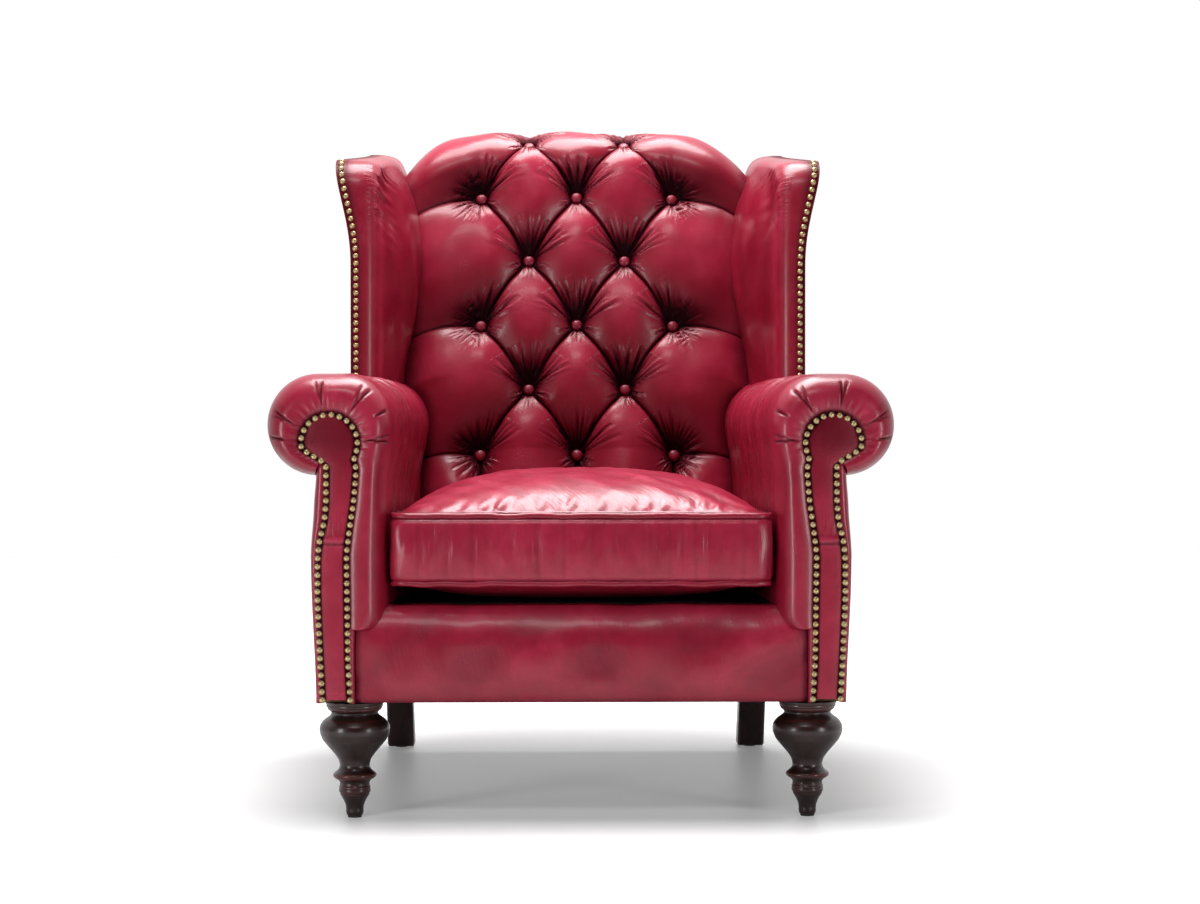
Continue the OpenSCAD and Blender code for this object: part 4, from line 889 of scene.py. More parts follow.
def pleat_marks(turn, out):
    """How deep the pleats are pressed in. Each opens outwards into a deep and a shallow fold."""
    pressed = 0.0
    for middle, start, stop, opening in PLEATS:
        window = ease(out, start, start + 0.25) * (1 - ease(out, stop - 0.05, stop + 0.03))
        fork = opening * limited(out - start - 0.2) / 0.8
        width = 0.9 + 0.5 * out
        pressed = np.maximum(pressed, window * hump(turn, middle + fork * 0.7, width))
        pressed = np.maximum(pressed, 0.7 * window * hump(turn, middle - fork, width))
    return pressed


def arm_cover(shape, label, side):
    """One arm's inside cover: the swollen front ring, the roll and the inner wall in one grid, and the
    narrow strips beside the facing's foot."""
    outline = arm_outline(shape)
    nails = matched_nail_line(shape, outline)
    across, forward, back = ring_profile(30)
    face_y, crest_y, side_y = shape.arm_face - 0.002, -0.0015, 0.047
    ring = nails + (outline - nails) * across[:, None, None]
    ring_depth = crest_y + (face_y - crest_y) * forward + (side_y - crest_y) * back
    end = plane_depth(shape, outline[:, 1], shape.pad_t)
    share = np.concatenate([np.linspace(0, 0.62, 130), np.linspace(0.62, 1, 40)[1:]])[1:]
    run = side_y + (end - side_y) * share[:, None]
    flat = np.concatenate([ring, np.broadcast_to(outline, run.shape + (2,))])
    depth = np.concatenate([np.broadcast_to(ring_depth[:, None], ring.shape[:2]), run])
    turn = np.degrees(turn_round(shape, outline))
    out = np.concatenate([across, np.ones(len(share))])[:, None]
    along = distances(outline)
    in_front, in_ring = depth < 0.06, depth < 0.048
    on_roll = ease(outline[:, 1], 0.47, 0.53)
    pleat = pleat_marks(turn, out) * in_front * on_roll
    inner_side = ease(outline[:, 1], 0.36, 0.50) * (1 - ease(outline[:, 0], 0.30, 0.36))
    drag = (inner_side * ease(depth, 0.055, 0.13) * (1 - 0.5 * ease(depth, 0.4, 0.55))
            + 0.12 * ease(depth, 0.07, 0.2) * on_roll)
    wrinkle = ripples(depth, along, 21 + side, 0.019, 0.55)
    soft = ripples(depth, along, 31 + side, 0.14, 0.20)
    ring_wave = ripples(np.radians(turn) * 0.06, out * 0.05, 41, 0.016, 0.09) * on_roll
    near_nails = (1 - ease(out, 0.05, 0.55)) * in_front
    raised = (0.0017 * wrinkle * drag + 0.0014 * soft * ease(depth, 0.03, 0.1)
              + 0.0008 * ring_wave * near_nails - 0.0030 * pleat)
    hem = (1 - ease(along, 0.0, 0.012)) * in_front
    points = push(from_arm(shape, flat[..., 0], depth, flat[..., 1]), raised)
    points = points + stacked(0.0, 0.010 * hem ** 2, 0.0)
    # Darker along the nail line.
    tuck = (1 - ease(out, 0.04, 0.19)) * in_front
    # Painted shade in the pleats, at the hem of the foot and towards the seam with the back.
    crease = limited(0.75 * pleat + 0.9 * tuck + 0.5 * ease(depth, end - 0.10, end) + 0.7 * hem)
    # Painted highlight along the ring's crest and over the roll's top.
    wear = limited(0.35 * hump(out, 0.45, 0.25) * in_front + 0.25 * on_roll * (turn > 40)) * (1 - crease)
    fold = stacked(np.where(in_ring, np.radians(turn) * 0.045, depth), np.where(in_ring, out * 0.04, along),
                   3.0 + side)
    gathers = limited(0.55 * near_nails * on_roll + 0.55 * drag * ease(depth, 0.06, 0.1))
    cover = patch(mirrored(points, side), flip=side < 0, crease=crease, wear=wear, fold=fold,
                  fold_strength=gathers)
    add_piece(f"rolled_arm_{label}", [cover, *facing_strips(shape, side)], "leather",
              f"inside_arm_cover_{label}", f"arm_pad_{label}", fill=0.85)


def outer_flare(z):
    """How far the arm's outer side stands out below its roll: a soft swell that fades at the neck."""
    return ((0.0070 * ease(z, 0.16, 0.37) - 0.0025) * (1 - ease(z, 0.37, 0.45))
            - 0.003 * ease(z, 0.44, 0.49))


def facing_strips(shape, side):
    """The leather between the nails and the arm's outer side, and between the nails and the border:
    rounded strips from the nail line forward, over, and back along the side."""
    line = facing_line(shape)
    top = int(np.argmax(line[:, 1]))
    across, forward, back = ring_profile(14)
    front, rear, end = 0.0035, 0.018, 0.044
    depth = front + (shape.arm_face - 0.002 - front) * forward + (rear - front) * back
    out = np.append(across, 1.0)[None]
    # Darker along the nail line.
    crease = 0.9 * (1 - ease(out, 0.0, 0.4))
    parts = []
    for rising in (False, True):
        half = line[:top] if rising else line[top:][::-1]
        z = np.linspace(shape.border_bottom - 0.001, shape.deck_z + 0.001 if rising else 0.503, 110)[:, None]
        nail_x = np.interp(z, half[:, 1], half[:, 0])
        edge = shape.border_edge if rising else shape.body_outer + outer_flare(z)
        points = from_arm(shape, nail_x + (edge - nail_x) * out, np.append(depth, end), z)
        # Painted highlight along the strip's rounded crest.
        parts.append(patch(mirrored(points, side), flip=(side < 0) != rising, crease=crease,
                           wear=0.4 * hump(out, 0.6, 0.25)))
    return parts


def arm_facing(shape, label, side):
    """One arm's facing: chords between matched points of the nail line, swollen between them, with a
    sharp fold across above the foot."""
    line = facing_line(shape)
    count = 150
    tangent = np.gradient(line, axis=0)
    outside = resampled(line + 0.0046 * unit(stacked(-tangent[:, 1], tangent[:, 0])), 2 * count)
    rising, falling = outside[:count], outside[count:][::-1]
    share = 0.5 - 0.5 * np.cos(np.linspace(0, np.pi, 26))
    flat = rising[:, None] + (falling - rising)[:, None] * share[:, None]
    x, z = flat[..., 0], flat[..., 1]
    swell = np.sqrt(1 - (2 * share - 1) ** 2)
    wide = np.linalg.norm(falling - rising, axis=1)[:, None]
    fold_z = 0.391
    below = 1 - ease(z, fold_z - 0.0015, fold_z + 0.0015)
    ledge = hump(z, fold_z + 0.004, 0.0035) * swell
    raised = (0.0050 - 0.0004 * below) * swell * ease(wide, 0.0, 0.03) + 0.0026 * ledge
    points = from_arm(shape, x, shape.arm_face - 0.0022 - raised, z)
    # Darker along the nail line.
    edge = 1 - ease(np.minimum(share, 1 - share) * wide, 0.0085, 0.0125)
    # Painted shade in the fold; darker at the top of the loop.
    crease = limited(0.95 * edge + 0.8 * hump(z, fold_z - 0.0008, 0.0016) + 0.40 * ease(z, 0.50, 0.54))
    # Painted highlight on the lower panel, the ledge and the swell above the fold.
    wear = limited(0.45 * below + 0.9 * ledge + 0.55 * hump(z, 0.43, 0.035) * swell) * (1 - crease)
    grid = patch(mirrored(points, side), flip=side < 0, crease=crease, wear=wear,
                 fold=stacked(x, z, 7.0 + side), fold_strength=0.25 * hump(z, fold_z + 0.02, 0.02) * swell)
    add_piece(f"facing_{label}", [grid], "leather", f"arm_facing_{label}", fill=0.7)


class CHAIR_OT_arms(bpy.types.Operator):
    """Makes the rolled arms and their facings"""

    bl_idname = "chair.arms"
    bl_label = "Rolled arms"

    def execute(self, context):
        shape = chair_shape()
        for label, side in SIDES.items():
            arm_cover(shape, label, side)
            arm_facing(shape, label, side)
        return {"FINISHED"}


# Wings


def wing_edge_line(shape):
    """The wing's outline from the side as depth and height: up its front edge, round its tip, along its
    top and over the crest's corner to the rear."""
    tip_r = 0.046
    front, tip_z = shape.wing_front - 0.003, shape.wing_top - tip_r
    low = stacked(front, np.linspace(0.585, tip_z, 30))
    tip = arc(front + tip_r, tip_z, tip_r, 180, 90, 16)[1:]
    over = np.radians([*np.linspace(60, 180, 26), 180.0, 180.0])
    half = shape.frame_t / 2
    fall = np.concatenate([np.zeros(26), [0.006, 0.012]])
    rise = shape.crest_s - shape.crest_drop + shape.crest_rise * np.sin(over) - fall
    through = half - half * np.cos(over)
    crest = stacked(shape.seat_depth + rise * shape.lean + through * shape.upright,
                    shape.bend_z + rise * shape.upright - through * shape.lean)
    return smoothed(resampled(np.concatenate([low, tip, crest]), 230), 10)


def wing_outer_at(shape, depth, z):
    """Outer side of a wing in its arm's frame: plane below, leaning outwards towards its front tip."""
    return (shape.wing_outer
            + shape.wing_flare * ease(z, 0.80, 0.985) ** 1.3 * (1 - ease(depth, 0.45, 0.66)))


def wing_thickness(shape, depth, z, lean_out):
    """Thickness of a wing: it grows from the front edge's to the root's, which changes with the height,
    and is never less than what the leaning tip needs."""
    level = np.linspace(0.55, 1.07, 200)
    table = np.interp(level, [0.60, 0.66, 0.76, 0.86, 0.93, 0.99, 1.02],
                      [0.062, 0.068, 0.088, 0.094, 0.080, 0.052, 0.046])
    root_t = np.interp(z, level, smoothed(table, 120))
    run = limited((depth - shape.wing_front) / (shape.seat_depth + 0.07 - shape.wing_front))
    edge_t = 0.031
    thick = edge_t + (root_t - edge_t) * (1 - (1 - run) ** 1.5)
    least = lean_out - shape.wing_outer + 0.041
    return 0.5 * (thick + least + np.hypot(thick - least, 0.010))


def wing_inner(shape, label, side):
    """One wing's inside cover: lines run from the outline in to the seam with the back. The thickness
    rises from 0 at the outline over a rounded edge."""
    rim = wing_edge_line(shape)
    at = np.linspace(0, 1, len(rim))
    root_at = [0.0, 0.35, 0.52, 0.62, 0.75, 0.88, 1.0]
    root_z = smoothed(np.interp(at, root_at, [0.585, 0.820, 0.905, 0.935, 0.955, 0.968, 0.930]), 40)
    through = np.interp(at, root_at, [0.050, 0.055, 0.060, 0.062, 0.075, 0.110, 0.150])
    root = stacked(smoothed(plane_depth(shape, root_z, through), 40), root_z)
    rho = np.linspace(0, 1, 64) ** 1.7
    flat = rim[:, None] + (root - rim)[:, None] * rho[:, None]
    reach = np.linalg.norm(root - rim, axis=1)[:, None] * rho
    depth, z = flat[..., 0], flat[..., 1]
    round_r = np.interp(at, [0, 0.45, 0.58, 1.0], [0.046, 0.046, 0.038, 0.030])[:, None]
    edge = (1 - (1 - limited(reach / round_r)) ** 4) ** 0.35
    lean_out = wing_outer_at(shape, depth, z)
    points = from_arm(shape, lean_out - wing_thickness(shape, depth, z, lean_out) * edge, depth, z)
    tip = hump(at, 0.41, 0.07)[:, None]
    along = 0.9 * at[:, None]
    waves = ripples(along, reach, 51 + side, 0.030, 0.16)
    soft = ripples(depth, z, 61 + side, 0.11, 0.17)
    raised = (0.0014 * waves * tip * ease(reach, 0.004, 0.03) * (1 - ease(reach, 0.05, 0.13))
              + 0.0016 * soft * ease(reach, 0.03, 0.08))
    points = push(points, -raised)
    # Darker along the outline, and painted shade towards the root by the back.
    crease = limited(0.6 * (1 - ease(reach, 0.0, 0.0012)) + 0.75 * ease(rho, 0.80, 1.0))
    # Painted highlight along the rounded front edge.
    wear = 0.40 * hump(reach, 0.026, 0.016) * (1 - crease)
    gathers = 0.45 * tip * (1 - ease(reach, 0.03, 0.075)) * ease(reach, 0.002, 0.008)
    grid = patch(mirrored(points, side), flip=side > 0, crease=crease, wear=wear,
                 fold=stacked(along, reach, 9.0 + side), fold_strength=gathers)
    add_piece(f"wing_{label}", [grid], "leather", f"inside_wing_cover_{label}", f"wing_pad_{label}",
              fill=0.85)


def outside_panel(name, replaced, side, places, size, seed, puff, turn_in):
    """An outside panel: a plane grid pushed out by a soft puff and turned in along its edges. Places
    gives a point of the right side for shares across and up. Size is its rows and columns."""
    v, h = [0.5 - 0.5 * np.cos(np.pi * np.linspace(0, 1, count)) for count in size]
    v = v[:, None]
    points = places(h, v)
    inside = np.minimum(np.minimum(h, 1 - h), np.minimum(v, 1 - v))
    dome = np.sin(np.pi * h) ** 0.7 * np.sin(np.pi * v) ** 0.7
    waves = ripples(points[..., 1] + points[..., 0], points[..., 2], seed, 0.20, 0.30)
    points = push(points, (puff + 0.0011 * waves) * dome - turn_in * (1 - rounded(inside / 0.03)))
    # Darker along the turned-in edges, with a lighter band just inside them.
    grid = patch(mirrored(points, side), flip=side < 0, crease=0.8 * (1 - ease(inside, 0.0, 0.02)),
                 wear=0.30 * hump(inside, 0.035, 0.02))
    add_piece(name, [grid], "outside_leather", replaced)


def wing_outer(shape, label, side):
    """One wing's outside panel: between its front outline and the outside back, from the roll up."""
    rim = wing_edge_line(shape)
    top = int(np.argmax(rim[:, 1]))
    foot_z, roll_z = 0.478, 0.612

    def places(h, v):
        z = foot_z + (rim[top, 1] - 0.0015 - foot_z) * v
        front = np.where(z > roll_z, np.interp(z, rim[:top, 1], rim[:top, 0]),
                         plane_depth(shape, z, shape.pad_t - 0.010))
        rear_plane = plane_depth(shape, z, shape.rear_cover)
        rear_top = np.interp(-z, -rim[top:, 1], rim[top:, 0])
        rear = np.where(z > rim[-1, 1], np.minimum(rear_top, rear_plane), rear_plane)
        depth = front + (rear - front) * h
        return from_arm(shape, wing_outer_at(shape, depth, z), depth, z)

    outside_panel(f"wing_outside_{label}", f"outside_wing_cover_{label}", side, places, (90, 60), 71 + side,
                  0.003, 0.004)


class CHAIR_OT_wings(bpy.types.Operator):
    """Makes the wings, inside and outside"""

    bl_idname = "chair.wings"
    bl_label = "Wings"

    def execute(self, context):
        shape = chair_shape()
        for label, side in SIDES.items():
            wing_inner(shape, label, side)
            wing_outer(shape, label, side)
        return {"FINISHED"}


# Outside covers, border and deck


def outside_arm(shape, label, side):
    """One arm's outside panel, from its front strip to the outside back and up under the roll."""
    front, tall = 0.0425, 0.489 - shape.leg_h

    def places(h, v):
        z = shape.panel_bottom + tall * v
        depth = front + (plane_depth(shape, z, shape.rear_cover) - front) * h
        out = shape.body_outer + outer_flare(z) * (1 - ease(depth, 0.05, 0.45))
        return from_arm(shape, out, depth, z)

    outside_panel(f"arm_outside_{label}", f"outside_arm_cover_{label}", side, places, (60, 90), 81 + side,
                  0.003, 0.003)


def roll_end(shape, label, side):
    """The panel that closes a roll's rear end: rings drawn in from the roll's outline to its middle."""
    neck_z = 0.486
    outline = arm_outline(shape)
    outline = outline[outline[:, 1] > neck_z]
    middle = np.array([0.5 * (shape.inner_lobe + shape.outer_lobe) + 0.02, shape.lobe_z])
    rho = np.linspace(0, 1, 18)[:, None]
    flat = outline + (middle - outline) * rho[..., None]
    depth = plane_depth(shape, flat[..., 1], shape.pad_t) + 0.006 * rounded(rho) - 0.001
    points = mirrored(from_arm(shape, flat[..., 0], depth, flat[..., 1]), side)
    grid = patch(points, flip=side < 0, crease=0.8 * (1 - ease(rho, 0.0, 0.12)))
    add_piece(f"roll_end_{label}", [grid], "outside_leather", f"arm_end_panel_{label}")


def outside_back(shape):
    """The outside back: one panel from the rear rail up the rake to under the crest."""
    through = shape.frame_t + 0.0030
    bottom = shape.panel_bottom
    widest = side_x(shape, shape.body_outer, 0.80)

    def places(h, v):
        side = 2 * h - 1
        top = shape.crest_s - crest_fall(shape, np.clip(side * widest, -shape.shoulder, shape.shoulder))
        z = bottom + (shape.bend_z + top * shape.upright - through * shape.lean - bottom) * v
        depth = plane_depth(shape, z, through)
        half = side_x(shape, shape.body_outer - 0.0002 - 0.004 * ease(z, 0.47, 0.50), depth)
        return stacked(-side * half, shape.front_y + depth, z)

    outside_panel("outside_back", "outside_back_cover", 1, places, (130, 110), 91, 0.0035, 0.0026)


def front_border(shape):
    """The padded border below the cushion: a front face, a rounded lip and a top, from side to side."""
    half = shape.border_edge - 0.0004
    lip, lip_rise = 0.034, 0.058
    top, low = shape.deck_z + 0.0003, shape.border_bottom - 0.001
    turn = np.linspace(np.pi, np.pi / 2, 26)[1:]
    profile = np.concatenate([
        [[0.030, low], [shape.arm_face + 0.004, low]],
        stacked(shape.arm_face, np.linspace(shape.border_bottom, top - lip_rise, 44)),
        stacked(shape.arm_face + lip * (1 + np.cos(turn)), top - lip_rise * (1 - np.sin(turn))),
        [[0.052, top], [0.060, top]]])
    x = np.linspace(-half, half, 240)
    depth, z = profile[:, :1], profile[:, 1:]
    middle = 1 - (x / half) ** 6
    face = ease(z, 0.170, 0.20) * (1 - ease(depth, 0.02, 0.05))
    folds = ripples(x, z, 101, 0.22, 0.12)
    fine = ripples(x + 0.3 * z, z, 103, 0.05, 0.16)
    swell = 0.006 * np.sin(np.pi * limited((z - 0.168) / 0.134)) * middle
    depth = depth - (swell + 0.0010 * folds + 0.0004 * fine) * face
    z = z - 0.0007 * ripples(x, depth, 107, 0.14, 0.3) * ease(z, 0.26, 0.30) * middle
    # Painted shade at the sides by the arms, along the bottom and in the fold valleys.
    crease = limited(0.6 * ease(np.abs(x), half - 0.012, half) + 0.5 * (1 - ease(z, 0.166, 0.176))
                     + 0.15 * ease(folds, -0.2, -1.0) * face)
    # Painted highlight along the lip, over the front face and on the fold crests.
    wear = limited(0.35 * hump(z, 0.292, 0.014) + (0.15 + 0.25 * ease(folds, 0.3, 1.2)) * face) * (1 - crease)
    grid = patch(stacked(x, shape.front_y + depth, z), crease=crease, wear=wear,
                 fold=stacked(x + 0.25 * z, z, 13.0), fold_strength=0.07 * face)
    add_piece("front_border", [grid], "leather", "border_cover", "border_pad", fill=0.8)


def deck(shape):
    """The cloth deck under the cushion: a pad with a soft rounded front edge and a quilting line."""
    front, rear = 0.0612, shape.seat_depth + shape.pad_t - 0.003
    v, h = np.linspace(0, 1, 70)[:, None], np.linspace(-1, 1, 70)
    depth = front + (rear - front) * v
    x, y = side_x(shape, shape.body_inner + 0.028, depth) * h, shape.front_y + depth
    stitched = hump(v, 0.12, 0.006) * (np.abs(h) < 0.97)
    top = stacked(x, y, shape.deck_z - 0.0006 - 0.0028 * stitched - 0.010 * (1 - ease(v, 0, 0.03)))
    low = stacked(x, y, shape.deck_z - 0.028)
    rims = [patch(np.stack(pair)) for pair in (
        (low[0], top[0]), (top[-1], low[-1]), (top[:, 0], low[:, 0]), (low[:, -1], top[:, -1]))]
    add_piece("deck", [patch(top), patch(low, flip=True), *rims], "black_cloth", "deck_cover", "deck_pad",
              fill=0.9)


class CHAIR_OT_covers(bpy.types.Operator):
    """Makes the outside covers, the border and the deck"""

    bl_idname = "chair.covers"
    bl_label = "Outside covers and border"

    def execute(self, context):
        shape = chair_shape()
        for label, side in SIDES.items():
            outside_arm(shape, label, side)
            roll_end(shape, label, side)
        outside_back(shape)
        front_border(shape)
        deck(shape)
        return {"FINISHED"}


# Nails


def nail_rows(shape, name, replaced, path, place, seed):
    """Nails at equal distances along a path and its mirror image. Place gives their places and outward
    directions. Each head is a rim and a low dome with a slight seeded tilt. Its crease is its tarnish,
    which the plain brass doesn't show."""
    chance = np.random.default_rng(seed)
    turn = np.array([0.0, 0.30, 0.70, 1.15, np.pi / 2])
    radii = 0.94 * shape.nail_r * np.array([1.0, *np.cos(turn[:-1]), 0.0])
    dome = turned(radii, [-0.0012, *(0.0004 + 0.0034 * np.sin(turn))], 10)
    rim = np.array([1.0, 0.95, 0.65, 0.20, 0.0, 0.0])[:, None]
    spots = resampled(path, int(distances(path)[-1] / shape.nail_spacing) + 1)
    parts = []
    for side in SIDES.values():
        for centre, outward in zip(*[mirrored(values, side) for values in place(*spots.T)]):
            tilted = placed(dome, centre, outward + chance.normal(0, 0.07, 3))
            parts.append(patch(tilted, crease=limited(rim + chance.uniform(-0.15, 0.25))))
    add_piece(name, parts, "antique_brass", replaced)


def facing_nails(shape):
    """Nails along both facings' nail lines."""

    def place(x, z):
        return from_arm(shape, x, 0.0036, z), stacked(0.0 * x, -1.0, 0.0)

    nail_rows(shape, "facing_nails", "arm_nails", facing_line(shape), place, 3)


def wing_nails(shape):
    """Nails up both wings' front edges, near their outer side."""

    def place(depth, z):
        outer = wing_outer_at(shape, depth, z) - 0.0085
        return from_arm(shape, outer, depth - 0.0005, z), stacked(0.15, -1.0, 0.8 * ease(z, 0.945, 0.985))

    rim = wing_edge_line(shape)
    keep = rim[(rim[:, 1] > shape.arm_top + 0.004) & (rim[:, 0] < shape.wing_front + 0.030)]
    nail_rows(shape, "wing_front_nails", "wing_nails", keep, place, 4)


class CHAIR_OT_nails(bpy.types.Operator):
    """Makes the rows of nails"""

    bl_idname = "chair.nails"
    bl_label = "Brass nails"

    def execute(self, context):
        shape = chair_shape()
        facing_nails(shape)
        wing_nails(shape)
        return {"FINISHED"}


# Seat cushion


def cushion_values(shape):
    """Levels and lengths of the seat cushion."""
    bottom = shape.deck_z + 0.0003 + 0.031
    return SimpleNamespace(
        front=0.015, rear=shape.seat_depth - 0.009, low=bottom, high=bottom + 0.095, corner=0.028,
        crown=0.072, sag=0.031, gap=0.003, draw=0.005, swell=0.024)


def cushion_plan(shape, cushion, p, q, inset):
    """A point of the cushion's outline shape for shares from -1 to 1: sides follow the arms and draw in
    between the corners, and the corners are mapped from a square on to a quarter circle."""
    long_half = (cushion.rear - cushion.front) / 2 - inset
    middle = (cushion.rear + cushion.front) / 2
    wide = (side_x(shape, shape.body_inner, middle + q * long_half) - cushion.gap
            - cushion.draw * (1 - q ** 2) - inset)
    r = cushion.corner - inset
    i = np.abs(p) * wide - (wide - r)
    j = np.abs(q) * long_half - (long_half - r)
    corner = (i > 0) & (j > 0)
    ci, cj = limited(i / r), limited(j / r)
    x = np.where(corner, wide - r + r * ci * np.sqrt(1 - cj ** 2 / 2), np.abs(p) * wide)
    d = np.where(corner, long_half - r + r * cj * np.sqrt(1 - ci ** 2 / 2), np.abs(q) * long_half)
    return np.sign(p) * x, shape.front_y + (middle + np.sign(q) * d)


def cushion_outline(shape, cushion, inset, count):
    """The cushion's outline as equally spaced points, counterclockwise from above, with the chord
    between each point's neighbours and the outward direction."""
    edge = np.linspace(-1, 1, 120)[:-1]
    one = np.ones(len(edge))
    p = np.concatenate([edge, one, -edge, -one])
    q = np.concatenate([-one, edge, one, -edge])
    path = stacked(*cushion_plan(shape, cushion, p, q, inset))
    line = resampled(np.concatenate([path, path[:1]]), count + 1)[:-1]
    chord = np.roll(line, -1, 0) - np.roll(line, 1, 0)
    return line, chord, unit(stacked(chord[:, 1], -chord[:, 0]))


def cushion_start(shape, cushion):
    """The closed shape that the simulation swells: a low crowned top, sides and a flat-bottomed
    underside, with crown height (1-|p|^3)(1-|q|^3) to a power."""
    share = np.sin(np.linspace(-np.pi / 2, np.pi / 2, 49))
    x, y = cushion_plan(shape, cushion, share, share[:, None], 0.007)
    rise = 1 - np.abs(share) ** 3
    crown = (rise * rise[:, None]) ** 0.75
    top = stacked(x, y, cushion.high + (cushion.crown - 0.012) * crown)
    under = stacked(x, y, cushion.low - (cushion.sag - 0.006) * np.minimum(1, crown / 0.72))
    up = np.linspace(0, 1, 12)[:, None, None]
    walls = [patch(under[edge] + (top[edge] - under[edge]) * up)
             for edge in (np.s_[0, :], np.s_[:, -1], np.s_[-1, ::-1], np.s_[::-1, 0])]
    return mesh_of("cushion_start", [patch(top), patch(under, flip=True), *walls], weld=0.3 * MILLIMETRE)


def point_places(mesh):
    """The places of a mesh's points."""
    places = np.empty(len(mesh.vertices) * 3, np.float32)
    mesh.vertices.foreach_get("co", places)
    return places.reshape(-1, 3)


def apply_modifier(target, kind, **settings):
    """Puts a modifier with its settings on the active object and applies it."""
    modifier = target.modifiers.new(kind.lower(), kind)
    for key, value in settings.items():
        setattr(modifier, key, value)
    bpy.ops.object.modifier_apply(modifier=modifier.name)


def run_cloth(target, pins, frames=20):
    """Swells a closed mesh with a short cloth simulation under pressure, pinned along a group."""
    cloth = target.modifiers.new("swell", "CLOTH")
    cloth.settings.effector_weights.gravity = 0.0
    for key, value in {
            "use_pressure": True, "uniform_pressure_force": 4.0, "vertex_group_mass": pins.name,
            "tension_stiffness": 12, "compression_stiffness": 12, "bending_stiffness": 0.6}.items():
        setattr(cloth.settings, key, value)
    cloth.point_cache.frame_start = 1
    cloth.point_cache.frame_end = frames
    for number in range(1, frames + 1):
        bpy.context.scene.frame_set(number)
    bpy.ops.object.modifier_apply(modifier=cloth.name)
    bpy.context.scene.frame_set(1)


def swell_cushion(mesh, cushion):
    """Evens out the cushion's mesh, swells it pinned along its two seams, and caps how far a point may
    move."""
    work = bpy.data.objects.new("cushion_work", mesh)
    bpy.context.scene.collection.objects.link(work)
    bpy.context.view_layer.objects.active = work
    apply_modifier(work, "REMESH", mode="VOXEL", voxel_size=0.006)
    rest = point_places(work.data)
    x, y, z = rest.T
    near = np.minimum(np.abs(z - cushion.low), np.abs(z - cushion.high)) < 0.004
    edge = (np.abs(x) > np.abs(x).max() - 0.040) | (y < y.min() + 0.03) | (y > y.max() - 0.03)
    pins = work.vertex_groups.new(name="seam")
    pins.add(np.nonzero(near & edge)[0].tolist(), 1.0, "REPLACE")
    run_cloth(work, pins)
    shift = point_places(work.data) - rest
    far = np.linalg.norm(shift, axis=1, keepdims=True)
    moved = rest + shift * np.minimum(1, cushion.swell / np.maximum(far, TINY))
    work.data.vertices.foreach_set("co", moved.ravel())
    apply_modifier(work, "SUBSURF", levels=1, render_levels=1)
    made = work.data.copy()
    bpy.data.objects.remove(work)
    return made


def beside_outline(points, line, tangent, outward):
    """Where points lie by a closed outline: how far along it, the outward direction there, and how far
    out of it."""
    spacing = np.linalg.norm(line[1] - line[0])
    batch = 4000
    nearest = np.concatenate([
        np.argmin(np.sum((points[start:start + batch, None] - line) ** 2, axis=2), axis=1)
        for start in range(0, len(points), batch)])
    ahead = np.sum((points - line[nearest]) * tangent[nearest], axis=1) / spacing
    ahead = np.clip(ahead, -0.5, 0.5)
    beside = (nearest + np.where(ahead > 0, 1, -1)) % len(line)
    part = np.abs(ahead)[:, None]
    normal = unit(outward[nearest] * (1 - part) + outward[beside] * part)
    reach = np.sum((points - line[nearest] * (1 - part) - line[beside] * part) * normal, axis=1)
    rear_middle = int(np.argmin(np.abs(line[:, 0]) - line[:, 1]))
    return ((nearest + ahead - rear_middle) % len(line)) * spacing, normal, reach


